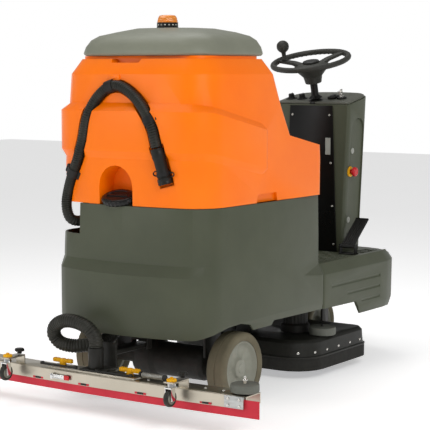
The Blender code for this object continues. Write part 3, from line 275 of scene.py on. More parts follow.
def corrugated(points, radius, pitch, depth, sides=24):
    """A ribbed hose: rounded crests at an even pitch, with narrow valleys between them."""
    count = int(route_length(points) / pitch) * 6
    dense = smooth_route(points, count)

    def radius_at(gone):
        wave = abs(math.cos(math.pi * gone / pitch))
        return radius - depth * (1 - wave ** 0.6)

    return tube_on(dense, radius_at, sides)


hose_black = finish_of("hose_black", srgb(44, 44, 38), srgb(26, 26, 22), 0.42, patch=14, grain=500,
                       relief=0.25,
                       dirt=0.35)
DRAIN_ROUTE = [at(*point) for point in (
    (-0.235, -0.1300, 0.650), (-0.235, -0.1480, 0.650), (-0.240, -0.178, 0.645), (-0.256, -0.208, 0.642),
    (-0.274, -0.226, 0.658), (-0.282, -0.231, 0.709), (-0.257, -0.238, 0.787), (-0.216, -0.248, 0.864),
    (-0.1845, -0.256, 0.935), (-0.1656, -0.253, 1.016), (-0.1307, -0.247, 1.081), (-0.0755, -0.243, 1.126),
    (-0.0178, -0.244, 1.129), (0.0467, -0.249, 1.093), (0.0945, -0.256, 1.045), (0.1286, -0.262, 0.992),
    (0.1425, -0.264, 0.950), (0.150, -0.263, 0.922))]
DRAIN_R = 0.0195
drain_path = smooth_route(DRAIN_ROUTE, 52)
drain_hose = piece("drain_hose_ribbed", corrugated(DRAIN_ROUTE, DRAIN_R, 0.0085, 0.0028), hose_black, "tank",
                   sharp=75)
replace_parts(drain_hose, "drain_hose")

# The drain wand is a smooth black tube with a swollen cuff over the hose's end and a broad
# collar at its foot. The collar is the stopper that the user squeezes open over a floor drain.
wand_from, wand_to = DRAIN_ROUTE[-1], at(0.182, -0.252, 0.796)
wand_long = (wand_to - wand_from).length
wand_way = (wand_to - wand_from).normalized()


def lathe(profile, sides=32, frame_of=None):
    """A closed outline of (radius, height) turned about Z, then carried into place."""
    made = bmesh.new()
    rows = []
    for radius, height in profile:
        if radius == 0:
            rows.append([made.verts.new((0, 0, height))])
        else:
            rows.append([made.verts.new((radius * math.cos(t), radius * math.sin(t), height))
                         for t in (2 * math.pi * k / sides for k in range(sides))])
    skinned(made, rows, sides)
    if frame_of is not None:
        bmesh.ops.transform(made, matrix=frame_of, verts=made.verts)
    bmesh.ops.recalc_face_normals(made, faces=made.faces)
    return made


def aimed(place, way):
    """A frame that stands at a place with Z along the given way."""
    return Matrix.Translation(place) @ Vector(way).to_track_quat("Z", "Y").to_matrix().to_4x4()


def merged(*forms):
    """Several closed forms as one mesh."""
    whole = bmesh.new()
    for form in forms:
        mesh = bpy.data.meshes.new("part")
        form.to_mesh(mesh)
        form.free()
        whole.from_mesh(mesh)
        bpy.data.meshes.remove(mesh)
    return whole


black_moulded = finish_of("black_moulded", srgb(30, 30, 27), srgb(18, 18, 16), 0.36, patch=9, grain=600,
                          relief=0.2,
                          dirt=0.3)
wand_frame = aimed(wand_from, wand_way)
wand = piece("drain_wand_tube", lathe([
    (0, 0.0026), (0.0195, 0.0026), (0.0232, 0.005), (0.0235, 0.010), (0.0228, 0.013), (0.0235, 0.016),
    (0.0235, 0.034),
    (0.0225, 0.040), (0.0213, 0.043), (0.0210, wand_long - 0.030), (0.0222, wand_long - 0.025),
    (0.0256, wand_long - 0.021), (0.0260, wand_long - 0.014), (0.0248, wand_long - 0.011),
    (0.0260, wand_long - 0.008),
    (0.0255, wand_long - 0.001), (0.022, wand_long), (0, wand_long)], 36, wand_frame), black_moulded, "tank")
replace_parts(wand, "drain_wand")

# The vacuum hose is a thicker corrugated tube. It comes up from the squeegee's suction cuff,
# makes one loop that takes up the lift, and runs forward to the vacuum motor under the body.
CUFF_X, CUFF_Y, VACUUM_R = -0.033, -0.375, 0.025
cuff_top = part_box("suction_cuff")[1][2]
pan_under = 0.3227        # just below the chassis plate
VACUUM_ROUTE = [at(CUFF_X + x, CUFF_Y + y, z) for x, y, z in (
    (0.000, 0.000, cuff_top + 0.0025), (0.000, 0.000, 0.250), (-0.010, -0.003, 0.274),
    (-0.042, -0.006, 0.298),
    (-0.092, -0.008, 0.310), (-0.142, -0.006, 0.306), (-0.184, 0.000, 0.283), (-0.197, 0.008, 0.250),
    (-0.176, 0.018, 0.222), (-0.138, 0.034, 0.212), (-0.105, 0.056, 0.213), (-0.080, 0.092, 0.216),
    (-0.066, 0.143, 0.226), (-0.060, 0.177, 0.250), (-0.060, 0.191, 0.284), (-0.060, 0.191, pan_under))]
vacuum_path = smooth_route(VACUUM_ROUTE, 40)
vacuum_hose = piece("vacuum_hose_ribbed", corrugated(VACUUM_ROUTE, VACUUM_R, 0.0095, 0.0034), hose_black,
                    None,
                    sharp=75)
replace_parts(vacuum_hose, "vacuum_hose")
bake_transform(vacuum_hose)


# The recovery tank is one hollow rotationally moulded shell of orange polyethylene, with walls
# about 6 mm thick, soft outer edges and a channel and pockets formed in its rear.
def rounded(name, node, radius, material, body, angle=24, segments=3):
    """A CAD solid as it leaves its mould: the same faces, with every sharp edge rounded over."""
    form = bmesh.new()
    form.from_mesh(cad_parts[node].data)
    bmesh.ops.remove_doubles(form, verts=form.verts, dist=2e-5)
    bmesh.ops.dissolve_degenerate(form, edges=form.edges, dist=2e-5)
    bmesh.ops.dissolve_limit(form, angle_limit=math.radians(0.7), verts=form.verts, edges=form.edges)
    made = piece(name, form, material, None, sharp=180)
    edge = made.modifiers.new("edge", "BEVEL")
    edge.limit_method, edge.angle_limit = "ANGLE", math.radians(angle)
    edge.width, edge.segments = radius, segments
    edge.use_clamp_overlap = True
    bpy.context.view_layer.update()
    mesh = bpy.data.meshes.new_from_object(made.evaluated_get(bpy.context.evaluated_depsgraph_get()))
    made.modifiers.clear()
    made.data = mesh
    mesh.shade_smooth()
    mesh.set_sharp_from_angle(angle=math.radians(30))
    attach(made, body)
    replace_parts(made, node)
    return made


tank_orange = finish_of("tank_orange", srgb(255, 122, 0), srgb(250, 114, 0), 0.36, patch=3.0, grain=420,
                        relief=0.35,
                        spread=0.06)
rounded("tank_shell", "recovery_tank", 0.0035, tank_orange, "tank")

# The lid is a domed grey polyethylene moulding that closes the tank's neck. It swings up on a
# hinge along its front edge.
lid_grey = finish_of("lid_grey", srgb(128, 130, 115), srgb(118, 120, 106), 0.42, patch=4.0, grain=520,
                     relief=0.4,
                     spread=0.08)
rounded("lid_shell", "tank_lid", 0.004, lid_grey, "lid", angle=30)

# The lower body and the front deck are two dark grey mouldings of the same make. They carry
# soft creases, a raised band round the middle, and grooves along the deck's sides.
body_grey = finish_of("body_grey", srgb(78, 82, 66), srgb(71, 75, 60), 0.42, patch=3.5, grain=480,
                      relief=0.45,
                      spread=0.07, dirt=0.12)
rounded("body_shell", "lower_body", 0.0035, body_grey, "chassis", angle=20)
rounded("deck_shell", "front_deck", 0.003, body_grey, "chassis", angle=20)

# The console is a hollow grey column. A flat black panel closes its rear, and a grey-black dash
# lies on its sloping top.
rounded("console_column", "console_shell", 0.0035, body_grey, "chassis", angle=20)
panel_black = finish_of("panel_black", srgb(14, 14, 13), srgb(9, 9, 8), 0.3, patch=6, grain=900, relief=0.15)
rounded("console_rear_panel", "console_panel", 0.0012, panel_black, "chassis")
dash_grey = finish_of("dash_grey", srgb(96, 97, 88), srgb(84, 85, 77), 0.5, patch=8, grain=800, relief=0.3)
rounded("console_dash_plate", "console_dash", 0.002, dash_grey, "chassis")

# The bare frame parts keep their solids' shapes. They are welded steel under satin black paint,
# cast iron for the drive axle, and zinc-plated or stainless steel on the squeegee.
frame_black = finish_of("frame_black", srgb(22, 22, 20), srgb(13, 13, 12), 0.4, patch=12, grain=260,
                        relief=0.5,
                        dirt=0.5)
axle_iron = finish_of("axle_iron", srgb(24, 24, 22), srgb(14, 14, 13), 0.45, patch=18, grain=180,
                      relief=0.8, dirt=0.5)
for node, body in (("chassis_pan", "chassis"), ("front_fork", "fork"), ("squeegee_holder",
                                                                        "squeegee_carrier"),
                   ("lift_link", "squeegee_link"), ("deck_link", "deck_arm")):
    rounded(node + "_painted", node, 0.0012, frame_black, body, segments=2)
rounded("drive_axle", "transaxle", 0.002, axle_iron, "chassis", segments=2)
rounded("suction_cuff_rubber", "suction_cuff", 0.0015, black_moulded, "squeegee_carrier",
        segments=2)

# The wheels are grey non-marking rubber tyres, pressed on pale nylon rims with a dished face,
# five pockets between short ribs, and a cap over the axle nut.
tyre_rubber = finish_of("tyre_rubber", srgb(112, 105, 84), srgb(96, 90, 72), 0.78, patch=11, grain=300,
                        relief=0.8,
                        dirt=0.45)
rim_nylon = finish_of("rim_nylon", srgb(150, 151, 138), srgb(136, 137, 125), 0.45, patch=10, grain=600,
                      relief=0.3,
                      dirt=0.35)


def tyre(name, node, body, hub, radius, width, bore, sides=72):
    """A square-shouldered rubber tyre with one narrow groove round the middle of its tread."""
    half = width / 2
    outline = [(bore, -half + 0.004), (bore + 0.006, -half + 0.002), (bore + 0.010, -half + 0.0004),
               (radius - 0.012, -half), (radius - 0.006, -half + 0.0012), (radius - 0.001, -half + 0.007),
               (radius, -half + 0.012), (radius, -0.0025), (radius - 0.002, -0.0018),
               (radius - 0.002, 0.0018),
               (radius, 0.0025), (radius, half - 0.012), (radius - 0.001, half - 0.007),
               (radius - 0.006, half - 0.0012),
               (radius - 0.012, half), (bore + 0.010, half - 0.0004), (bore + 0.006, half - 0.002),
               (bore, half - 0.004)]
    turn = Matrix.Translation(hub) @ Matrix.Rotation(math.pi / 2, 4, "Y")
    made = piece(name, lathe(outline, sides, turn), tyre_rubber, body, sharp=40)
    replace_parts(made, node)


def rim(name, node, body, hub, radius, width, side, bore):
    """A dished rim. Pockets are pressed between its ribs, and a stepped cap stands in the middle."""
    half = width / 2
    outline = [(bore, -half * 0.80), (radius * 0.34, -half * 0.80), (radius * 0.40, -half * 0.14),
               (radius * 0.80, -half * 0.14), (radius * 0.88, -half * 0.84), (radius, -half * 0.84),
               (radius, half * 0.84), (radius * 0.96, half * 0.88), (radius * 0.93, half * 0.80),
               (radius * 0.90, half * 0.50), (radius * 0.84, half * 0.38), (radius * 0.62, half * 0.30),
               (radius * 0.40, half * 0.34), (radius * 0.35, half * 0.50), (radius * 0.33, half * 0.66),
               (radius * 0.29, half * 0.72), (radius * 0.18, half * 0.74), (radius * 0.17, half * 0.78),
               (bore + radius * 0.03, half * 0.79), (bore, half * 0.79)]
    sides = 80
    form = bmesh.new()
    rows = []
    for r, a in outline:
        ring = []
        for k in range(sides if r else 1):
            t = 2 * math.pi * k / sides
            share = (r / radius - 0.42) / 0.40
            pocket = 0.0
            if a > 0 and 0.0 < share < 1.05:
                wave = math.cos(5 * t)
                pocket = 0.0055 * max(0.0, min(1.0, (wave + 0.35) * 3)) * math.sin(math.pi * min(1.0,
                    max(0.0, share)))
            ring.append(form.verts.new((side * (a - pocket), r * math.cos(t), r * math.sin(t))))
        rows.append(ring)
    skinned(form, rows, sides)
    bmesh.ops.transform(form, matrix=Matrix.Translation(hub), verts=form.verts)
    made = piece(name, form, rim_nylon, body, sharp=40)
    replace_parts(made, node)


for side, word in ((-1, "left"), (1, "right")):
    low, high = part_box(f"rear_tyre_{word}")
    hub = (Vector(low) + Vector(high)) / 2
    radius, width = (high[2] - low[2]) / 2, high[0] - low[0]
    tyre(f"drive_tyre_{word}", f"rear_tyre_{word}", f"rear_wheel_{word}", hub, radius, width,
         radius * 0.75 + 0.0008)
    rim(f"drive_rim_{word}", f"rear_rim_{word}", f"rear_wheel_{word}", hub, radius * 0.75, width, side, 0.0)
low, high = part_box("front_tyre")
hub = (Vector(low) + Vector(high)) / 2
radius, width = (high[2] - low[2]) / 2, high[0] - low[0]
tyre("steered_tyre", "front_tyre", "front_wheel", hub, radius, width, radius * 0.75 + 0.0008)
rim("steered_rim", "front_rim", "front_wheel", hub, radius * 0.75, width, 1, 0.0108)

# The beacon is a stepped amber lens with fine upright ribs, on a black base that is held by a
# ring of small screws.
beacon_at = at(0, 0.006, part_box("beacon_base")[0][2])
beacon_r = (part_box("beacon_base")[1][0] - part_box("beacon_base")[0][0]) / 2
lens_low, lens_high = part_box("beacon_lens")[0][2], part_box("beacon_lens")[1][2]
amber, shader, add, join = node_kit("amber_lens_plastic")
where = add("ShaderNodeTexCoord")
streaks = add("ShaderNodeTexNoise", Scale=22.0, Detail=3.0)
join(where.outputs["Object"], streaks.inputs["Vector"])
tint = add("ShaderNodeMix", data_type="RGBA")
tint.inputs[6].default_value = (*srgb(255, 132, 8), 1)
tint.inputs[7].default_value = (*srgb(255, 168, 40), 1)
join(streaks.outputs["Fac"], tint.inputs[0])
join(tint.outputs[2], shader.inputs["Base Color"])
shader.inputs["Roughness"].default_value = 0.12
shader.inputs["Coat Weight"].default_value = 0.6
shader.inputs["Transmission Weight"].default_value = 0.25
ribs, rib_depth = 40, 0.012
form = bmesh.new()
rows = []
profile = [(0.0, 0.0), (0.985, 0.0), (0.995, 0.03), (0.995, 0.10), (0.93, 0.14), (0.93, 0.33),
           (0.915, 0.36), (0.885, 0.38),
           (0.875, 0.62), (0.85, 0.66), (0.82, 0.68), (0.78, 0.86), (0.66, 0.95), (0.40, 0.99), (0.0, 1.0)]
for r, up in profile:
    ring = []
    for k in range(ribs * 4 if r else 1):
        t = 2 * math.pi * k / (ribs * 4)
        swell = rib_depth * math.cos(ribs * t) if 0.14 <= up <= 0.86 else 0.0
        reach = beacon_r * (r - rib_depth * (r < 0.98 and r > 0.5) + swell)
        ring.append(form.verts.new((reach * math.cos(t), reach * math.sin(t),
                                    lens_low + up * (lens_high - lens_low))))
    rows.append(ring)
skinned(form, rows, ribs * 4, shut=False)
bmesh.ops.transform(form, matrix=Matrix.Translation((0, beacon_at.y, 0)), verts=form.verts)
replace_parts(piece("beacon_ribbed_lens", form, amber, "lid", sharp=50), "beacon_lens")
base_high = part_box("beacon_base")[1][2] - beacon_at.z
base = lathe([(0, 0), (beacon_r, 0), (beacon_r, base_high * 0.30), (beacon_r * 0.965, base_high * 0.34),
               (beacon_r * 0.96, base_high * 0.80), (beacon_r * 0.99, base_high * 0.84),
               (beacon_r * 0.99, base_high * 0.98),
               (beacon_r * 0.97, base_high), (0, base_high)], 48, Matrix.Translation(beacon_at))
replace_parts(piece("beacon_stepped_base", base, black_moulded, "lid"), "beacon_base")


def studs(name, places, ways, radius, height, material, body):
    """A set of identical round heads, copied onto a cloud of points by a node tree and made real."""
    form = lathe([(0, 0), (radius, 0), (radius, height * 0.4), (radius * 0.86, height * 0.8),
                  (radius * 0.5, height),
                  (radius * 0.42, height * 0.86), (0, height * 0.80)], 14)
    stud = bpy.data.objects.new(name + "_one", bpy.data.meshes.new(name + "_one"))
    form.to_mesh(stud.data)
    form.free()
    cloud = bpy.data.meshes.new(name)
    cloud.from_pydata([tuple(p) for p in places], [], [])
    turns = cloud.attributes.new("way", "FLOAT_VECTOR", "POINT")
    for item, way in zip(turns.data, ways):
        item.vector = way
    holder = bpy.data.objects.new(name, cloud)
    bpy.context.scene.collection.objects.link(stud)
    bpy.context.scene.collection.objects.link(holder)
    tree = bpy.data.node_groups.new(name, "GeometryNodeTree")
    tree.interface.new_socket("Points", in_out="INPUT", socket_type="NodeSocketGeometry")
    size = tree.interface.new_socket("Head size", in_out="INPUT", socket_type="NodeSocketFloat")
    tree.interface.new_socket("Heads", in_out="OUTPUT", socket_type="NodeSocketGeometry")
    new, link = tree.nodes.new, tree.links.new
    entry, leave = new("NodeGroupInput"), new("NodeGroupOutput")
    source = new("GeometryNodeObjectInfo")
    copies = new("GeometryNodeInstanceOnPoints")
    solid = new("GeometryNodeRealizeInstances")
    source.inputs["Object"].default_value = stud
    way, align = new("GeometryNodeInputNamedAttribute"), new("FunctionNodeAlignRotationToVector")
    way.data_type = "FLOAT_VECTOR"
    way.inputs["Name"].default_value = "way"
    align.axis = "Z"
    paint = new("GeometryNodeSetMaterial")
    paint.inputs["Material"].default_value = material
    link(entry.outputs["Points"], copies.inputs["Points"])
    link(entry.outputs["Head size"], copies.inputs["Scale"])
    link(source.outputs["Geometry"], copies.inputs["Instance"])
    link(way.outputs[0], align.inputs["Vector"])
    link(align.outputs["Rotation"], copies.inputs["Rotation"])
    link(copies.outputs["Instances"], solid.inputs["Geometry"])
    link(solid.outputs["Geometry"], paint.inputs["Geometry"])
    link(paint.outputs["Geometry"], leave.inputs["Heads"])
    grow = holder.modifiers.new("heads", "NODES")
    grow.node_group = tree
    grow[size.identifier] = 1.0
    bpy.context.view_layer.update()
    mesh = bpy.data.meshes.new_from_object(holder.evaluated_get(bpy.context.evaluated_depsgraph_get()))
    holder.modifiers.clear()
    holder.data = mesh
    mesh.materials.clear()
    mesh.materials.append(material)
    mesh.shade_smooth()
    mesh.set_sharp_from_angle(angle=math.radians(40))
    bpy.data.objects.remove(stud)
    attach(holder, body)
    return holder


zinc = finish_of("zinc_plate", srgb(196, 194, 186), srgb(170, 168, 160), 0.3, patch=30, grain=300, relief=0.2,
                 metallic=1.0, dirt=0.25)
around = [2 * math.pi * k / 16 for k in range(16)]
studs("beacon_screws", [beacon_at + Vector((beacon_r * 0.958 * math.cos(t), beacon_r * 0.958 * math.sin(t),
                                            base_high * 0.58))
                        for t in around], [(math.cos(t), math.sin(t), 0) for t in around], 0.0034, 0.0016,
                        zinc, "lid")

# The deck's floor is covered in a raised bar tread, laid in a basket weave, that is moulded with
# the floor. Short bars lie in pairs, and each pair is turned a quarter from its neighbours.
tread_grey = finish_of("tread_grey", srgb(74, 78, 63), srgb(64, 68, 55), 0.5, patch=10, grain=500,
                       relief=0.4, dirt=0.15)
bar_long, bar_wide, bar_high, tread_step = 0.026, 0.0055, 0.0014, 0.034
floor_z = 0.428
form = bmesh.new()
row = 0
y = 0.590
while y < 1.215:
    column = 0
    x = -0.288
    while x <= 0.288:
        rounding = math.sqrt(max(0.0, 0.135 ** 2 - max(0.0, y - 1.05) ** 2))
        nose = abs(x) < 0.17 + rounding - (0.01 if y > 1.0 else -0.2)
        clear_of_console = y < 1.000 or abs(x) > 0.175
        clear_of_pedals = not (0.955 < y < 1.045 and 0.15 < abs(x) < 0.25)
        if nose and clear_of_console and clear_of_pedals:
            flat = (row + column) % 2
            for offset in (-0.0075, 0.0075):
                long, wide = bar_long / 2, bar_wide / 2
                cx, cy = (x, y + offset) if flat else (x + offset, y)
                dx, dy = (long, wide) if flat else (wide, long)
                base_ring = [form.verts.new((cx + sx * dx, cy + sy * dy + axle_y, floor_z - 0.0004))
                             for sx, sy in ((-1, -1), (1, -1), (1, 1), (-1, 1))]
                top_ring = [form.verts.new((cx + sx * (dx - 0.0014), cy + sy * (dy - 0.0014) + axle_y,
                                            floor_z + bar_high))
                            for sx, sy in ((-1, -1), (1, -1), (1, 1), (-1, 1))]
                for k in range(4):
                    form.faces.new((base_ring[k], base_ring[(k + 1) % 4], top_ring[(k + 1) % 4], top_ring[k]))
                form.faces.new(top_ring)
                form.faces.new(base_ring[::-1])
        x += tread_step
        column += 1
    y += tread_step
    row += 1
piece("deck_tread", form, tread_grey, "chassis", sharp=20)


# The steering wheel is a hard black moulding over a steel ring: a round rim with finger grips
# underneath, three spokes, and a boss that flares down to the column. It leans to the rider.
STEER_CENTRE, STEER_TILT = at(0.0, 1.010, 1.225), math.radians(15)
steer_frame = Matrix.Translation(STEER_CENTRE) @ Matrix.Rotation(STEER_TILT, 4, "X")
wheel_black = finish_of("wheel_black", srgb(58, 58, 53), srgb(46, 46, 42), 0.5, patch=16, grain=700,
                        relief=0.35)
rounded("steering_wheel_moulded", "steering_wheel", 0.0022, wheel_black, "steering",
        angle=26)
grips = bmesh.new()
for k in range(48):
    turn = 2 * math.pi * k / 48
    bead = bmesh.new()
    bmesh.ops.create_uvsphere(bead, u_segments=10, v_segments=6, radius=0.0052)
    bmesh.ops.transform(bead, matrix=steer_frame @ Matrix.Translation((0.1515 * math.cos(turn),
                                                                       0.1515 * math.sin(turn),
                        -0.0068)) @ Matrix.Rotation(turn, 4, "Z") @ Matrix.Diagonal((1.25, 1.5, 0.8, 1)),
                        verts=bead.verts)
    mesh = bpy.data.meshes.new("bead")
    bead.to_mesh(mesh)
    bead.free()
    grips.from_mesh(mesh)
    bpy.data.meshes.remove(mesh)
piece("steering_finger_grips", grips, wheel_black, "steering", sharp=70)
cap_ring = lathe([(0, -0.012), (0.034, -0.012), (0.036, -0.005), (0.033, -0.001), (0.028, 0.0005),
                  (0.026, -0.001),
                  (0, -0.0015)], 40, steer_frame)
piece("steering_centre_cap", cap_ring, black_moulded, "steering")
rounded("steering_column_tube", "steering_column", 0.0012, frame_black, "chassis",
        segments=2)
spinner_form = lathe([(0, 0.0068), (0.0125, 0.0068), (0.0125, 0.0095), (0.0095, 0.012), (0.0088, 0.020),
                      (0.0092, 0.034),
                      (0.0125, 0.0385), (0.0185, 0.0432), (0.0235, 0.0500), (0.0260, 0.0585),
                      (0.0260, 0.0655),
                      (0.0235, 0.0740), (0.0185, 0.0808), (0.0115, 0.0853), (0.005, 0.0872), (0, 0.0876)], 36,
                     steer_frame @ Matrix.Translation((-0.128, 0, 0)))
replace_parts(piece("spinner_knob_turned", spinner_form, wheel_black, "spinner", sharp=50),
            "spinner_knob")


# The controls are bought parts: a red mushroom stop button in a yellow collar on the right side,
# two ribbed dials and a key switch with its keys on the dash, and small plugs in unused holes.
def box_form(low, high, bevel=0.0, rounds=2, turn=None):
    """A block with rounded edges, turned into place by a frame if one is given."""
    made = bmesh.new()
    bmesh.ops.create_cube(made, size=1.0)
    low, high = Vector(low), Vector(high)
    for vert in made.verts:
        vert.co = Vector(l + (h - l) * (c + 0.5) for l, h, c in zip(low, high, vert.co))
    if bevel:
        bmesh.ops.bevel(made, geom=made.edges[:], offset=bevel, segments=rounds, affect="EDGES", profile=0.5)
    if turn is not None:
        bmesh.ops.transform(made, matrix=turn, verts=made.verts)
    return made


def ribbed_knob(outline, ribs, depth, place, sides=8):
    """A turned knob whose grip is cut into even flutes."""
    made = bmesh.new()
    rows = []
    count = ribs * sides
    for r, z, fluted in outline:
        ring = []
        for k in range(count if r else 1):
            t = 2 * math.pi * k / count
            reach = r - (depth * (0.5 + 0.5 * math.cos(ribs * t)) if fluted else 0.0)
            ring.append(made.verts.new((reach * math.cos(t), reach * math.sin(t), z)))
        rows.append(ring)
    skinned(made, rows, count)
    bmesh.ops.transform(made, matrix=place, verts=made.verts)
    return made


stop_low, stop_high = (Vector(v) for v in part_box("stop_button"))
stop_mid = (stop_low + stop_high) / 2
stop_red = finish_of("stop_red", srgb(205, 28, 34), srgb(184, 20, 28), 0.3, patch=30, grain=500, relief=0.1,
                     coat=0.4)
safety_yellow = finish_of("safety_yellow", srgb(238, 176, 12), srgb(222, 160, 8), 0.4, patch=24, grain=500,
                          relief=0.2)
stop_frame = Matrix.Translation((stop_high.x - 0.032, stop_mid.y,
                                 stop_mid.z)) @ Matrix.Rotation(math.pi / 2, 4, "Y")
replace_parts(piece("stop_button_head", ribbed_knob([
    (0, -0.008, 0), (0.0078, -0.008, 0), (0.0078, 0.0160, 0), (0.0185, 0.0160, 1), (0.0198, 0.0180, 1),
    (0.0198, 0.0230, 1),
    (0.0188, 0.0262, 1), (0.0165, 0.0292, 0), (0.0125, 0.0306, 0), (0.0120, 0.0296, 0), (0, 0.0296, 0)], 16,
    0.0007,
    stop_frame), stop_red, "stop", sharp=50), "stop_button")
collar_form = ribbed_knob([(0.0105, -0.0060, 0), (0.0215, -0.0060, 1), (0.0222, -0.0015, 1),
                           (0.0215, 0.0025, 1),
                           (0.0165, 0.0052, 0), (0.0120, 0.0052, 0), (0.0105, 0.0040, 0)], 20, 0.0010,
                           stop_frame)
piece("stop_button_collar", collar_form, safety_yellow, "chassis", sharp=50)
DASH_GRADE = 0.20
DASH_SLOPE = math.atan(DASH_GRADE)


def dash_height(y):
    return 1.043 + DASH_GRADE * (y - 1.020)


def on_dash(x, y):
    """A frame that stands square on the sloping dash."""
    z = dash_height(y) + 0.010 + 0.0008
    return Matrix.Translation(at(x, y, z)) @ Matrix.Rotation(DASH_SLOPE, 4, "X")


for word, x in (("left", -0.135), ("right", -0.082)):
    knob = ribbed_knob([(0, 0.0006, 0), (0.0158, 0.0006, 0), (0.0158, 0.0040, 0), (0.0148, 0.0060, 0),
                        (0.0130, 0.0070, 1),
                        (0.0124, 0.0180, 1), (0.0110, 0.0205, 0), (0, 0.0210, 0)], 12, 0.0012,
                        on_dash(x, 1.080))
    pointer = box_form((-0.0013, 0.001, 0.0195), (0.0013, 0.0128, 0.0224), 0.0005, 1, on_dash(x, 1.080))
    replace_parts(piece(f"dial_{word}_knob", merged(knob, pointer), black_moulded, f"dial_{word}"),
                f"dial_{word}")
    ring = lathe([(0.0168, 0.0000), (0.0235, 0.0000), (0.0235, 0.0016), (0.0222, 0.0026), (0.0180, 0.0026),
                  (0.0168, 0.0016)], 40, on_dash(x, 1.080))
    piece(f"dial_{word}_bezel", ring, black_moulded, "chassis")
bright_steel = finish_of("bright_steel", srgb(214, 212, 206), srgb(190, 188, 182), 0.2, patch=40, grain=500,
                         relief=0.1,
                         metallic=1.0)
key_frame = on_dash(0.105, 1.090)
barrel = lathe([(0, 0.0004), (0.0105, 0.0004), (0.0108, 0.0100), (0.0085, 0.0122), (0, 0.0122)], 28,
               key_frame)
blade_key = box_form((-0.0012, -0.0036, 0.0115), (0.0012, 0.0036, 0.0245), 0.0004, 1, key_frame)
bow = box_form((-0.0016, -0.0095, 0.0235), (0.0016, 0.0095, 0.0395), 0.0030, 2, key_frame)
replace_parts(piece("key_in_switch", merged(barrel, blade_key, bow), bright_steel, "key"),
            "key_switch")
switch_nut = ribbed_knob([(0.0112, 0.0, 0), (0.0205, 0.0, 1), (0.0205, 0.0045, 1), (0.0180, 0.0066, 0),
                          (0.0112, 0.0066, 0)],
                         6, 0.0018, key_frame)
piece("key_switch_nut", switch_nut, black_moulded, "chassis")
switch_box = box_form((-0.058, -0.020, 0.0), (-0.024, 0.022, 0.0115), 0.0025, 2, key_frame)
rocker = box_form((-0.050, -0.012, 0.0105), (-0.032, 0.014, 0.0150), 0.0020, 2,
                  key_frame @ Matrix.Rotation(0.09, 4, "X"))
piece("dash_rocker_switch", merged(switch_box, rocker), black_moulded, "chassis")
spare_ring = [Vector((0.0095 * math.cos(t), -0.014 + 0.0095 * math.sin(t), 0.034 + 0.003 * math.sin(t + 1)))
              for t in (2 * math.pi * k / 30 for k in range(29))]
ring_form = tube_on([key_frame @ p for p in spare_ring], lambda gone: 0.0008, 8)
spare_key = box_form((-0.0008, -0.040, 0.0150), (0.0010, -0.019, 0.0225), 0.0004, 1,
                     key_frame @ Matrix.Rotation(0.35, 4, "Z") @ Matrix.Rotation(-0.25, 4, "X"))
piece("spare_key_on_ring", merged(ring_form, spare_key), bright_steel, "key")
piece("steering_column_collar", lathe([(0.0172, 0.000), (0.034, 0.000), (0.034, 0.004), (0.029, 0.010),
                                       (0.022, 0.014),
                                       (0.0172, 0.0145)], 40, steer_frame @ Matrix.Translation((0, 0,
                                           -0.1795))),
      black_moulded, "chassis")
pale_plug = finish_of("pale_plug", srgb(158, 160, 152), srgb(146, 148, 140), 0.4, patch=30, grain=500,
                      relief=0.2)


def console_face(y, z):
    """Half the console's width on its leaning side faces, less the arched recess."""
    foot, waist, top = 0.4288, 0.75, dash_height(y)
    share = 0.5 * (z - foot) / (waist - foot) if z < waist else 0.5 + 0.5 * (z - waist) / (top - waist)
    return 0.150 + 0.030 * share


for k, (y, z) in enumerate(((1.085, 0.850), (1.078, 0.560))):
    x = console_face(y, z) - 0.0102
    piece(f"console_plug_{k}", lathe([(0, 0), (0.0125, 0), (0.0125, 0.0022), (0.0105, 0.0036), (0, 0.0040)],
                                     28,
                                     aimed(at(x, y, z), (1, 0, -0.05))), pale_plug, "chassis")
panel_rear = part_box("console_panel")[0][1]
plate_low, plate_high = Vector((0.0715, panel_rear - 0.0018, 0.835)), Vector((0.0960, panel_rear - 0.0002,
    0.905))
piece("blank_data_plate", box_form(plate_low, plate_high, 0.0006, 1), pale_plug, "chassis")
panel_screws = [Vector((side * x, panel_rear, z)) for side in (-1, 1) for x, z in
                ((0.090, 1.000), (0.098, 0.800), (0.106, 0.620), (0.114, 0.460))]
studs("console_panel_screws", panel_screws, [(0, -1, 0)] * 8, 0.0050, 0.0022, zinc, "chassis")

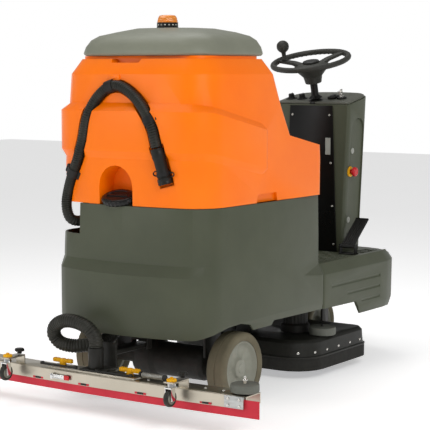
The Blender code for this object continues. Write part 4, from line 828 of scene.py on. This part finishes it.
# Each pedal is a ribbed rubber pad on a plate, hinged on a black painted steel bracket that
# stands on the deck's floor.
pedal_rubber = finish_of("pedal_rubber", srgb(36, 36, 34), srgb(26, 26, 25), 0.6, patch=20, grain=400,
                         relief=0.5, dirt=0.2)
PEDAL_Z, PEDAL_RISE = 0.461, math.radians(39)
for side, word in ((-1, "brake"), (1, "accelerator")):
    hinge = at(side * 0.200, 0.985, PEDAL_Z)
    lean = Matrix.Translation(hinge) @ Matrix.Rotation(PEDAL_RISE, 4, "X")
    parts = [box_form((-0.030, -0.005, 0.0006), (0.030, 0.159, 0.0070), 0.0016, 2, lean)]
    parts += [box_form((-0.0255 + 0.0102 * k, 0.004, 0.0060), (-0.0205 + 0.0102 * k, 0.153, 0.0096), 0.0010,
                       1, lean)
              for k in range(5)]
    parts.append(box_form((-0.0305, 0.1545, 0.0010), (0.0305, 0.1598, 0.0098), 0.0016, 2, lean))
    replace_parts(piece(f"{word}_pedal_pad", merged(*parts), pedal_rubber, f"pedal_{word}"),
                f"{word}_pedal")
    floor_at = at(side * 0.200, 0.985, 0.428)
    foot = [box_form((-0.034, -0.020, 0.0002), (0.034, 0.030, 0.0050), 0.0012, 1,
                     Matrix.Translation(floor_at))]
    for ear in (-1, 1):
        foot.append(box_form((ear * 0.0345 - 0.0015, -0.010, 0.003), (ear * 0.0345 + 0.0015, 0.014, 0.042),
                             0.0010, 1,
                             Matrix.Translation(floor_at)))
    foot.append(lathe([(0, -0.037), (0.0040, -0.037), (0.0040, 0.037), (0, 0.037)], 16,
                      Matrix.Translation(hinge + Vector((0, -0.0100,
                                                         -0.0025))) @ Matrix.Rotation(math.pi / 2, 4, "Y")))
    piece(f"{word}_pedal_bracket", merged(*foot), frame_black, "chassis")

# The filler cap is an oval cap of glossy black plastic that leans back. Short ribs round it
# and a bar across its top give a grip.
RECESS_X = -0.0355
CAP_A, CAP_B, CAP_TILT = 0.072, 0.047, math.radians(30)
cap_frame = (Matrix.Translation(at(RECESS_X, -0.196, 0.7640)) @ Matrix.Rotation(CAP_TILT, 4, "X")
             @ Matrix.Translation((0, -CAP_B - 0.002, 0)) @ Matrix.Diagonal((1, CAP_B / CAP_A, 1, 1)))
gloss_black = finish_of("gloss_black", srgb(30, 30, 29), srgb(20, 20, 20), 0.22, patch=18, grain=300,
                        relief=0.15)
cap_form = ribbed_knob([(0, -0.0108, 0), (0.062, -0.0108, 0), (0.0690, -0.0100, 1), (0.0712, -0.0060, 1),
                        (0.0715, 0.0010, 1),
                        (0.0680, 0.0060, 1), (0.0620, 0.0088, 0), (0.0520, 0.0104, 0), (0.0460, 0.0108, 0),
                        (0.0440, 0.0086, 0), (0, 0.0084, 0)], 26, 0.0022, cap_frame)
bar_grip = box_form((-0.044, -0.009, 0.0080), (0.044, 0.009, 0.0109), 0.0030, 2, cap_frame)
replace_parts(piece("filler_cap_ribbed", merged(cap_form, bar_grip), gloss_black, "cap",
                  sharp=45), "filler_cap")


# The seat is a foam cushion and back under black vinyl, with pressed channels. The cushion is
# piped round its edges. Both ride on a pan that slides in the tank's recess.
vinyl, shader, add, join = node_kit("seat_black_vinyl")
where = add("ShaderNodeTexCoord")
grain_cells = add("ShaderNodeTexVoronoi", Scale=420.0)
wide_cells = add("ShaderNodeTexNoise", Scale=9.0, Detail=6.0)
wear = add("ShaderNodeMix", data_type="RGBA")
wear.inputs[6].default_value = (*srgb(34, 34, 35), 1)
wear.inputs[7].default_value = (*srgb(50, 50, 50), 1)
join(where.outputs["Object"], grain_cells.inputs["Vector"])
join(where.outputs["Object"], wide_cells.inputs["Vector"])
join(wide_cells.outputs["Fac"], wear.inputs[0])
join(wear.outputs[2], shader.inputs["Base Color"])
leather_bump = add("ShaderNodeBump", Strength=0.5, Distance=0.0006)
join(grain_cells.outputs["Distance"], leather_bump.inputs["Height"])
join(leather_bump.outputs["Normal"], shader.inputs["Normal"])
shine = add("ShaderNodeMapRange", To_Min=0.42, To_Max=0.62)
join(wide_cells.outputs["Fac"], shine.inputs["Value"])
join(shine.outputs["Result"], shader.inputs["Roughness"])
shader.inputs["Sheen Weight"].default_value = 0.05


def stuffed(name, node, shrink, face, seams, swell):
    """A pad blown up with cloth pressure from its solid, then pressed in along its sewn channels."""
    low, high = (Vector(v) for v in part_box(node))
    source = bmesh.new()
    source.from_mesh(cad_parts[node].data)
    bmesh.ops.remove_doubles(source, verts=source.verts, dist=2e-5)
    middle = (low + high) / 2
    for vert in source.verts:
        vert.co = middle + Vector(c * (1 - 2 * shrink / s) for c, s in zip(vert.co - middle, high - low))
    pad = piece(name, source, vinyl, None, sharp=180)
    mesh_steps = pad.modifiers.new("voxels", "REMESH")
    mesh_steps.mode, mesh_steps.voxel_size = "VOXEL", 0.0075
    bpy.context.view_layer.update()
    pad.data = bpy.data.meshes.new_from_object(pad.evaluated_get(bpy.context.evaluated_depsgraph_get()))
    pad.modifiers.clear()
    start = [v.co.copy() for v in pad.data.vertices]
    cloth = pad.modifiers.new("cloth", "CLOTH")
    cloth.settings.use_pressure = True
    cloth.settings.uniform_pressure_force = 4.0
    cloth.settings.effector_weights.gravity = 0.0
    cloth.settings.quality = 5
    cloth.point_cache.frame_start, cloth.point_cache.frame_end = 1, 20
    scene = bpy.context.scene
    for tick in range(1, 21):
        scene.frame_set(tick)
    blown = bpy.data.meshes.new_from_object(pad.evaluated_get(bpy.context.evaluated_depsgraph_get()))
    pad.modifiers.clear()
    ends = [v.co.copy() for v in blown.vertices]
    scene.frame_set(1)
    for vert, was, now in zip(pad.data.vertices, start, ends):
        step = now - was
        vert.co = was + step * min(1.0, swell / max(step.length, 1e-9))
    bpy.data.meshes.remove(blown)
    across, upward = (0, 1) if face == 2 else (0, 2)
    for vert in pad.data.vertices:
        share = [2 * (vert.co[i] - middle[i]) / (high[i] - low[i]) for i in range(3)]
        inward = max(0.0, 1 - share[across] ** 2) * max(0.0, 1 - share[upward] ** 2)
        near = share[face] if face == 2 else share[1]
        if near > 0.2:
            press = sum(math.exp(-((vert.co[axis] - middle[axis] - offset) / 0.0065) ** 2) for axis,
                        offset in seams)
            vert.co[face] += near * (0.004 * inward - 0.0065 * min(1.0, press))
        for i in range(3):
            vert.co[i] = min(high[i] + 0.003, max(low[i] - (0.0 if i == 2 else 0.003), vert.co[i]))
    smooth = pad.modifiers.new("smooth", "SUBSURF")
    smooth.levels = smooth.render_levels = 1
    bpy.context.view_layer.update()
    pad.data = bpy.data.meshes.new_from_object(pad.evaluated_get(bpy.context.evaluated_depsgraph_get()))
    pad.modifiers.clear()
    pad.data.shade_smooth()
    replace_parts(pad, node)
    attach(pad, "seat")
    return low, high


low, high = stuffed("seat_cushion_vinyl", "seat_cushion", 0.006, 2,
                    ((0, -0.105), (0, 0.105), (1, -0.060), (1, 0.045)), 0.008)


def piping(name, corners, radius, bend):
    """A sewn cord round the edge of a pad, on a rounded closed line."""
    line = []
    for k, corner in enumerate(corners):
        before, after = corners[k - 1], corners[(k + 1) % len(corners)]
        a = corner + (before - corner).normalized() * bend
        b = corner + (after - corner).normalized() * bend
        line += [a.lerp(corner, t).lerp(corner.lerp(b, t), t) for t in (0.0, 0.25, 0.5, 0.75, 1.0)]
    form = bmesh.new()
    sides = 8
    rows = []
    count = len(line)
    for k, point in enumerate(line):
        ahead = (line[(k + 1) % count] - line[k - 1]).normalized()
        upright = (corners[1] - corners[0]).cross(corners[2] - corners[1]).normalized()
        across = ahead.cross(upright)
        rows.append([form.verts.new(point + (across * math.cos(t) + upright * math.sin(t)) * radius)
                     for t in (2 * math.pi * j / sides for j in range(sides))])
    skinned(form, rows, sides)
    piece(name, form, vinyl, "seat", sharp=80)


for word, z in (("upper", high.z - 0.020), ("lower", low.z + 0.018)):
    piping(f"seat_cushion_piping_{word}", [Vector((x, y, z)) for x, y in (
        (low.x + 0.0015, low.y + 0.0015), (high.x - 0.0015, low.y + 0.0015),
        (high.x - 0.0015, high.y - 0.0015),
        (low.x + 0.0015, high.y - 0.0015))], 0.0030, 0.024)
low, high = stuffed("seat_back_vinyl", "seat_back", 0.006, 1, ((0, -0.095), (0, 0.095), (2, 0.060)), 0.008)
rounded("seat_slide_pan", "seat_pan", 0.0015, frame_black, "seat", segments=2)

# The hose hangs in two spring clips and a soft top clip on the tank's rear. A lug with a
# slotted screw hole stands over the arc, and looped straps hold the wand's foot.
strap_rubber = finish_of("strap_rubber", srgb(34, 34, 33), srgb(24, 24, 24), 0.55, patch=16, grain=500,
                         relief=0.4)


def hose_clip(name, place, radius, width, ears=True):
    """A black band round the hose, with bolted ears where it meets the tank."""
    best = min(range(1, len(drain_path) - 1), key=lambda i: (drain_path[i] - place).length)
    point = drain_path[best]
    way = (drain_path[best + 1] - drain_path[best - 1]).normalized()
    stand = aimed(point, way)
    parts = [lathe([(radius - 0.0002, -width / 2), (radius + 0.0028, -width / 2),
                    (radius + 0.0032, -width / 4),
                    (radius + 0.0032, width / 4), (radius + 0.0028, width / 2),
                    (radius - 0.0002, width / 2)], 40, stand)]
    if ears:
        outward = Vector((0, 1, 0)) - way * way.y
        across = way.cross(outward).normalized()
        for side in (-1, 1):
            ear = aimed(point + across * side * (radius + 0.008) + outward.normalized() * 0.004, way)
            parts.append(box_form((-0.0075, -0.0075, -width / 2), (0.0075, 0.0075, width / 2), 0.0022, 2,
                                  ear))
    piece(name, merged(*parts), strap_rubber, "tank")


hose_clip("hose_clip_left", at(-0.2385, -0.243, 0.822), DRAIN_R, 0.030)
hose_clip("hose_clip_right", at(0.1180, -0.260, 1.010), DRAIN_R, 0.026)
hose_clip("hose_clip_top", at(-0.062, -0.243, 1.129), DRAIN_R, 0.034, ears=False)
to_axle = Matrix.Translation(at(0, 0, 0))
lug_z = 1.160
lug_y = -0.2375
lug = [box_form((-0.072, lug_y - 0.006, lug_z - 0.010), (-0.026, lug_y + 0.012, lug_z + 0.012), 0.0040, 2,
                to_axle),
       box_form((-0.059, lug_y - 0.0085, lug_z - 0.003), (-0.039, lug_y - 0.004, lug_z + 0.004), 0.0012, 1,
                to_axle)]
piece("hose_top_lug", merged(*lug), tank_orange, "tank")
strap_at = wand_from.lerp(wand_to, 0.72)
strap_frame = aimed(strap_at, wand_way)
piece("wand_strap_band", lathe([(0.0212, -0.008), (0.0236, -0.008), (0.0240, 0.0), (0.0236, 0.008),
                                (0.0212, 0.008)], 36,
                               strap_frame), strap_rubber, "tank")
for side in (-1, 1):
    centre = strap_at + Vector((side * 0.0315, 0.002, 0.000))
    loop = [centre + Vector((side * 0.0125 * math.cos(t), 0.001 * math.sin(2 * t), 0.0075 * math.sin(t)))
            for t in (math.pi * (-0.92) + 1.84 * math.pi * k / 26 for k in range(27))]
    piece(f"wand_strap_loop_{'left' if side < 0 else 'right'}", tube_on(loop, lambda gone: 0.0022, 10),
          strap_rubber, "tank",
          sharp=80)

# The battery bank is four lead batteries in black cases that stand side by side. Each has three
# yellow vent caps. Their posts and cables are left out.
case_black = finish_of("battery_case_black", srgb(46, 46, 50), srgb(36, 36, 40), 0.5, patch=12, grain=500,
                       relief=0.3)
low, high = (Vector(v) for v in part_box("battery_bank"))
middle = (low + high) / 2
cases, lids = [], []
for sx in (-1, 1):
    for sy in (-1, 1):
        x0, x1 = sorted((middle.x + sx * 0.001, high.x if sx > 0 else low.x))
        y0, y1 = sorted((middle.y + sy * 0.001, high.y if sy > 0 else low.y))
        cases.append(box_form((x0, y0, low.z), (x1, y1, high.z - 0.034), 0.004, 2))
        cases.append(box_form((x0, y0, high.z - 0.033), (x1, y1, high.z - 0.013), 0.004, 2))
        for k in range(3):
            spot = Vector(((x0 + x1) / 2 + (k - 1) * 0.040, (y0 + y1) / 2, high.z - 0.014))
            lids.append(ribbed_knob([(0, 0, 0), (0.014, 0, 1), (0.014, 0.009, 1), (0.011, 0.0125, 0),
                                     (0, 0.013, 0)], 10, 0.0012,
                                    Matrix.Translation(spot)))
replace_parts(piece("battery_cases", merged(*cases), case_black, "chassis"), "battery_bank")
piece("battery_vent_caps", merged(*lids), safety_yellow, "chassis")


# The squeegee is a stainless steel channel with a clamped strap behind it. A long red rubber
# blade shows under the strap, and a second blade stands in front of the channel.
RAIL_Y, RAIL_HALF, RAIL_SWEEP = -0.430, 0.612, 0.020
brushed, shader, add, join = node_kit("brushed_stainless")
where, draw = add("ShaderNodeTexCoord"), add("ShaderNodeMapping", Scale=(3.0, 160.0, 420.0))
lines, shade = add("ShaderNodeTexNoise", Scale=6.0, Detail=6.0), add("ShaderNodeTexNoise", Scale=5.0,
                                                                     Detail=3.0)
steel_mix, steel_gloss = add("ShaderNodeMix", data_type="RGBA"), add("ShaderNodeMapRange", To_Min=0.22,
                                                                     To_Max=0.42)
steel_bump = add("ShaderNodeBump", Strength=0.25, Distance=0.0003)
steel_mix.inputs[6].default_value = (*srgb(206, 198, 182), 1)
steel_mix.inputs[7].default_value = (*srgb(168, 162, 148), 1)
join(where.outputs["Object"], draw.inputs["Vector"])
join(draw.outputs["Vector"], lines.inputs["Vector"])
join(where.outputs["Object"], shade.inputs["Vector"])
join(shade.outputs["Fac"], steel_mix.inputs[0])
join(steel_mix.outputs[2], shader.inputs["Base Color"])
join(lines.outputs["Fac"], steel_gloss.inputs["Value"])
join(steel_gloss.outputs["Result"], shader.inputs["Roughness"])
join(lines.outputs["Fac"], steel_bump.inputs["Height"])
join(steel_bump.outputs["Normal"], shader.inputs["Normal"])
shader.inputs["Metallic"].default_value = 1.0
blade_red = finish_of("blade_red", srgb(206, 52, 66), srgb(190, 44, 58), 0.5, patch=8, grain=300,
                      relief=0.4, spread=0.1)
rounded("squeegee_channel", "squeegee_body", 0.0008, brushed, "squeegee", segments=2)
rounded("squeegee_strap", "blade_strap", 0.0005, brushed, "squeegee", segments=1)
rounded("squeegee_rear_blade", "rear_blade", 0.0006, blade_red, "squeegee", segments=1)
rounded("squeegee_front_blade", "front_blade", 0.0006, blade_red, "squeegee", segments=1)


def rail_y(x):
    return RAIL_Y + RAIL_SWEEP * (x / RAIL_HALF) ** 2


# Each slot in the strap is drawn as a black block on the strap's face, a painted shadow for the dark inside
# of the opening, with red blocks at its ends in the blade's own red.
slot_shadow_blocks, slot_red = [], []
for x in (-0.505, -0.255, -0.044, 0.202, 0.463):
    spot = Matrix.Translation(at(x, rail_y(x), 0.1035))
    slot_shadow_blocks.append(box_form((-0.0130, -0.0012, -0.0036), (0.0130, 0.0006, 0.0036), 0.0008, 1, spot))
    for side in (-1, 1):
        slot_red.append(box_form((side * 0.0185 - 0.0055, -0.0010, -0.0036),
                                 (side * 0.0185 + 0.0055, 0.0006, 0.0036), 0.0008, 1,
                                 spot))
piece("strap_slots", merged(*slot_shadow_blocks), black_moulded, "squeegee")
piece("strap_slot_ends", merged(*slot_red), blade_red, "squeegee")
satin_alloy = finish_of("satin_alloy", srgb(190, 192, 190), srgb(172, 174, 172), 0.38, patch=14, grain=500,
                        relief=0.4,
                        metallic=1.0, stretch=(1, 8, 8))
end_blocks, screws, ways = [], [], []
for side in (-1, 1):
    x0, x1 = sorted((side * 0.536, side * 0.611))
    y = rail_y(0.58)
    end_blocks.append(box_form((x0, y - 0.0062, 0.0990), (x1, y - 0.0006, 0.1400), 0.0018, 2, to_axle))
    screws += [at(side * x, y - 0.0062, z) for x in (0.552, 0.596) for z in (0.108, 0.130)]
    ways += [(0, -1, 0)] * 4
piece("squeegee_end_blocks", merged(*end_blocks), satin_alloy, "squeegee")
top_bolts = [at(x, rail_y(x) + 0.050, 0.1390) for x in (-0.47, -0.27, 0.20, 0.27, 0.43, 0.50)]
studs("squeegee_bolts", screws + top_bolts, ways + [(0, 0, 1)] * len(top_bolts), 0.0052, 0.0034,
      bright_steel, "squeegee")

# A toggle latch draws the strap tight. It is a wire bail on a pressed lever with a red tip.
latch_low, latch_high = (Vector(v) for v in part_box("strap_latch"))
chrome = finish_of("polished_chrome", srgb(224, 224, 222), srgb(205, 205, 204), 0.12, patch=20, grain=400,
                   relief=0.08,
                   metallic=1.0)
y = latch_high.y - 0.0004
lever = [lathe([(0, -0.0095), (0.0050, -0.0095), (0.0062, -0.0075), (0.0062, 0.0075), (0.0050, 0.0095),
                (0, 0.0095)], 24,
               Matrix.Translation((latch_low.x + 0.006, y - 0.0052, 0.118))),
         box_form((latch_low.x + 0.010, y - 0.0060, 0.1105), (latch_high.x - 0.022, y - 0.0030, 0.1255),
                  0.0010, 2)]
for z in (0.1115, 0.1245):
    bail = [Vector((latch_low.x + 0.006 + 0.058 * t, y - 0.0068, z + (0.118 - z) * t * 0.3)) for t in
            (k / 8 for k in range(9))]
    lever.append(tube_on(bail, lambda gone: 0.0014, 10))
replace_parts(piece("toggle_latch", merged(*lever), chrome, "latch"), "strap_latch")
tip = box_form((latch_high.x - 0.024, y - 0.0075, 0.1095), (latch_high.x, y - 0.0030, 0.1265), 0.0026, 2)
piece("toggle_latch_tip", tip, stop_red, "latch")

# Two yellow moulded knobs clamp the squeegee to its carrier. Their wings are hollow and ribbed.
for side, word in ((-1, "left"), (1, "right")):
    low, high = (Vector(v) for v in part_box(f"wing_knob_{word}"))
    mid = (low + high) / 2
    stand = Matrix.Translation((mid.x, mid.y, low.z))
    tall = high.z - low.z
    hub = ribbed_knob([(0, 0, 0), (0.0125, 0, 1), (0.0128, tall * 0.75, 1), (0.0095, tall * 0.97, 0),
                       (0.0060, tall * 0.99, 0),
                       (0.0052, tall * 0.90, 0), (0, tall * 0.90, 0)], 10, 0.0010, stand)
    wings = []
    for s in (-1, 1):
        wings.append(box_form((min(s * 0.008, s * 0.0435), -0.0068, 0.0100),
                              (max(s * 0.008, s * 0.0435), 0.0068, 0.0246),
                              0.0040, 2, stand))
        for k in range(3):
            x = s * (0.020 + 0.0085 * k)
            wings.append(box_form((x - 0.0014, -0.0078, 0.0115), (x + 0.0014, 0.0078, 0.0252), 0.0006, 1,
                                  stand))
    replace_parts(piece(f"clamp_knob_{word}", merged(hub, *wings), safety_yellow, f"knob_{word}"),
                f"wing_knob_{word}")

# Each caster is a small rubber wheel in a pressed chrome fork. It hangs from a bright bracket,
# under a yellow height nut, with a black star knob on the bracket's back.
CASTER_X = 0.362
for side, word in ((-1, "left"), (1, "right")):
    rounded(f"caster_fork_{word}_plated", f"caster_fork_{word}", 0.0008, chrome, f"caster_{word}",
            segments=2)
    low, high = (Vector(v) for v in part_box(f"caster_wheel_{word}"))
    hub, radius, half = (low + high) / 2, (high.z - low.z) / 2, (high.x - low.x) / 2
    across = Matrix.Translation(hub) @ Matrix.Rotation(math.pi / 2, 4, "Y")
    tread = lathe([(0.0195, -half + 0.001), (radius - 0.004, -half), (radius - 0.001, -half + 0.003),
                   (radius, -half + 0.007),
                   (radius, half - 0.007), (radius - 0.001, half - 0.003), (radius - 0.004, half),
                   (0.0195, half - 0.001)], 44,
                  across)
    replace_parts(piece(f"caster_tread_{word}", tread, hose_black, f"caster_roller_{word}"),
                f"caster_wheel_{word}")
    core = lathe([(0.0042, -half + 0.001), (0.008, -half + 0.001), (0.009, -half + 0.004),
                  (0.017, -half + 0.004),
                  (0.0193, -half + 0.0015), (0.0193, half - 0.0015), (0.017, half - 0.004),
                  (0.009, half - 0.004),
                  (0.008, half - 0.001), (0.0042, half - 0.001)], 36, across)
    piece(f"caster_core_{word}", core, rim_nylon, f"caster_roller_{word}")
    x = side * CASTER_X
    swivel = at(x, rail_y(CASTER_X) - 0.044, 0)
    nut = ribbed_knob([(0, 0, 0), (0.0170, 0, 1), (0.0175, 0.0060, 1), (0.0150, 0.0085, 0),
                       (0.0060, 0.0088, 0),
                       (0.0055, 0.0140, 0), (0, 0.0145, 0)], 8, 0.0022,
                       Matrix.Translation((swivel.x, swivel.y, 0.1713)))
    piece(f"caster_height_nut_{word}", nut, safety_yellow, "squeegee")
    star = ribbed_knob([(0, 0, 0), (0.0080, 0, 0), (0.0085, 0.0060, 0), (0.0170, 0.0080, 1),
                        (0.0178, 0.0150, 1),
                        (0.0140, 0.0185, 0), (0, 0.0190, 0)], 6, 0.0050,
                       Matrix.Translation(at(x, rail_y(CASTER_X) + 0.018, 0.1735)))
    piece(f"caster_star_knob_{word}", star, black_moulded, "squeegee")

# The end rollers are soft grey wheels that stand flat on the rail's ends and run along walls.
roller_rubber = finish_of("roller_rubber", srgb(104, 106, 98), srgb(92, 94, 87), 0.6, patch=14, grain=400,
                          relief=0.5,
                          dirt=0.2)
for group, body, label in (("end_roller", "bumper", "wall_roller"), ("deck_roller", "guide",
                                                                     "deck_guide_roller")):
    for word in ("left", "right"):
        low, high = (Vector(v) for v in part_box(f"{group}_{word}"))
        mid, radius, tall = (low + high) / 2, (high.x - low.x) / 2, high.z - low.z
        stand = Matrix.Translation((mid.x, mid.y, low.z))
        ring = lathe([(0.0068, 0.001), (radius * 0.55, 0.001), (radius * 0.60, 0.0), (radius - 0.004, 0.0),
                      (radius - 0.001, 0.002), (radius, 0.006), (radius, tall - 0.006),
                      (radius - 0.001, tall - 0.002),
                      (radius - 0.004, tall), (radius * 0.88, tall), (radius * 0.85, tall - 0.0012),
                      (radius * 0.30, tall - 0.0012), (radius * 0.26, tall), (0.0068, tall)], 56, stand)
        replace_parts(piece(f"{label}_{word}", ring, roller_rubber, f"{body}_{word}"),
                    f"{group}_{word}")
END_ROLLER_X = 0.584
bolt_spots = [at(side * END_ROLLER_X, rail_y(END_ROLLER_X) + 0.045, 0.1842) for side in (-1, 1)]
studs("wall_roller_bolts", bolt_spots, [(0, 0, 1)] * 2, 0.0088, 0.0060, bright_steel, "squeegee")
studs("wall_roller_studs", [spot + Vector((0, 0, 0.004)) for spot in bolt_spots], [(0, 0, 1)] * 2, 0.0042,
      0.0110,
      bright_steel, "squeegee")

# Thin black levers with cranked ends lie along the rail's top. They and a coil spring carry
# the squeegee's weight when it is lifted.
lever_black = []
for x0, x1 in ((-0.262, -0.094), (-0.012, 0.150)):
    lever_black.append(box_form((x0, CUFF_Y - 0.033, 0.1465), (x1, CUFF_Y - 0.025, 0.1545), 0.0018, 2,
                                to_axle))
    for x in (x0 + 0.008, x1 - 0.008):
        lever_black.append(lathe([(0, 0), (0.0075, 0), (0.0075, 0.0042), (0.0050, 0.0060), (0, 0.0062)], 18,
                                 Matrix.Translation(at(x, CUFF_Y - 0.029, 0.1520))))
piece("squeegee_levers", merged(*lever_black), frame_black, "squeegee")
coils, coil_steps, coil_r = 17, 300, 0.0085
spring = [at(0.178 + 0.088 * k / coil_steps,
             CUFF_Y - 0.008 + coil_r * math.cos(2 * math.pi * coils * k / coil_steps),
             0.1560 + coil_r * math.sin(2 * math.pi * coils * k / coil_steps)) for k in range(coil_steps + 1)]
piece("squeegee_coil_spring", tube_on(spring, lambda gone: 0.0017, 8), zinc, "squeegee", sharp=80)
ends = [lathe([(0, 0), (0.0108, 0), (0.0108, 0.008), (0, 0.008)], 24, aimed(at(x, -0.383, 0.1560), (1, 0, 0)))
        for x in (0.168, 0.268)]
piece("squeegee_spring_ends", merged(*ends), frame_black, "squeegee")

# The brush deck is a black pressed housing over two discs. A row of round screws holds a soft
# skirt round its lower edge, and each disc has tufts of blue-black nylon bristle.
housing_black = finish_of("housing_black", srgb(22, 23, 19), srgb(15, 16, 13), 0.4, patch=8, grain=260,
                          relief=0.7, dirt=0.25)
skirt_rubber = finish_of("skirt_rubber", srgb(12, 12, 11), srgb(8, 8, 7), 0.7, patch=20, grain=200,
                         relief=0.8, dirt=0.3,
                         stretch=(1, 1, 0.2))
rounded("brush_housing", "brush_deck", 0.0020, housing_black, "deck")
rounded("brush_skirt", "deck_skirt", 0.0006, skirt_rubber, "deck", segments=1)
deck_half, deck_rear, deck_front = 0.330, 0.440, 0.925
screw_z = 0.104
screws, ways = [], []
edge_spots = [(side * (deck_half - 0.0022), y, (side, 0, 0)) for side in (-1, 1) for y in (0.600, 0.690,
    0.780, 0.860)]
edge_spots += [(x, deck_front - 0.0022, (0, 1, 0)) for x in (-0.24, -0.12, 0.0, 0.12, 0.24)]
for x, y, way in edge_spots:
    screws.append(at(x, y, screw_z))
    ways.append(way)
for side in (-1, 1):
    for turn in (0.35, 0.95):
        r = 0.1185
        cx, cy = side * (deck_half - 0.120), deck_rear + 0.120
        way = Vector((side * math.cos(turn), -math.sin(turn), 0))
        screws.append(at(cx, cy, screw_z) + way * r)
        ways.append(tuple(way))
studs("brush_skirt_screws", screws, ways, 0.0062, 0.0030, bright_steel, "deck")
bristle, shader, add, join = node_kit("nylon_bristle")
where, strands, draw = add("ShaderNodeTexCoord"), add("ShaderNodeTexNoise", Scale=9.0, Detail=4.0), add(
    "ShaderNodeMapping", Scale=(60, 60, 2))
tuft_mix, tuft_bump = add("ShaderNodeMix", data_type="RGBA"), add("ShaderNodeBump", Strength=0.8,
                                                                  Distance=0.001)
tuft_mix.inputs[6].default_value = (*srgb(36, 52, 96), 1)
tuft_mix.inputs[7].default_value = (*srgb(20, 30, 60), 1)
join(where.outputs["Object"], draw.inputs["Vector"])
join(draw.outputs["Vector"], strands.inputs["Vector"])
join(strands.outputs["Fac"], tuft_mix.inputs[0])
join(tuft_mix.outputs[2], shader.inputs["Base Color"])
join(strands.outputs["Fac"], tuft_bump.inputs["Height"])
join(tuft_bump.outputs["Normal"], shader.inputs["Normal"])
shader.inputs["Roughness"].default_value = 0.65
for word in ("left", "right"):
    low, high = (Vector(v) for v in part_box(f"brush_{word}"))
    mid = (low + high) / 2
    disc = lathe([(0, 0.078), (0.140, 0.078), (0.144, 0.081), (0.140, 0.092), (0.034, 0.094),
                  (0.026, 0.100), (0.020, 0.104),
                  (0.020, high.z), (0, high.z)], 48, Matrix.Translation((mid.x, mid.y, 0)))
    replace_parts(piece(f"brush_disc_{word}", disc, black_moulded, f"disc_{word}"),
                f"brush_{word}")
    tufts = bmesh.new()
    for ring, radius in enumerate((0.078, 0.093, 0.108, 0.122, 0.135)):
        count = int(2 * math.pi * radius / 0.014)
        for k in range(count):
            t = 2 * math.pi * (k + 0.5 * (ring % 2)) / count
            lean = 1 + 0.06 * (radius / 0.135)
            top = Vector((radius * math.cos(t), radius * math.sin(t), 0.0785))
            foot = Vector((radius * lean * math.cos(t), radius * lean * math.sin(t), 0.0305))
            rows = []
            for share, girth in ((0.0, 0.0026), (0.5, 0.0040), (1.0, 0.0058)):
                centre = top.lerp(foot, share)
                rows.append([tufts.verts.new((mid.x + centre.x + girth * math.cos(a),
                                              mid.y + centre.y + girth * math.sin(a),
                                              centre.z)) for a in (math.pi * j / 3 for j in range(6))])
            skinned(tufts, rows, 6, shut=False)
            tufts.faces.new(rows[0][::-1])
            tufts.faces.new(rows[-1])
    piece(f"brush_tufts_{word}", tufts, bristle, f"disc_{word}", sharp=60)
    low, high = (Vector(v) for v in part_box(f"brush_motor_{word}"))
    mid = (low + high) / 2
    motor = ribbed_knob([(0, low.z, 0), (0.0575, low.z, 0), (0.0575, 0.182, 0), (0.0520, 0.187, 0),
                         (0.0495, 0.190, 1),
                         (0.0495, 0.250, 1), (0.0440, 0.256, 0), (0.0300, 0.2615, 0), (0, 0.262, 0)], 22,
                         0.0022,
                        Matrix.Translation((mid.x, mid.y, 0)))
    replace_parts(piece(f"brush_motor_{word}_case", motor, axle_iron, "deck"),
                f"brush_motor_{word}")
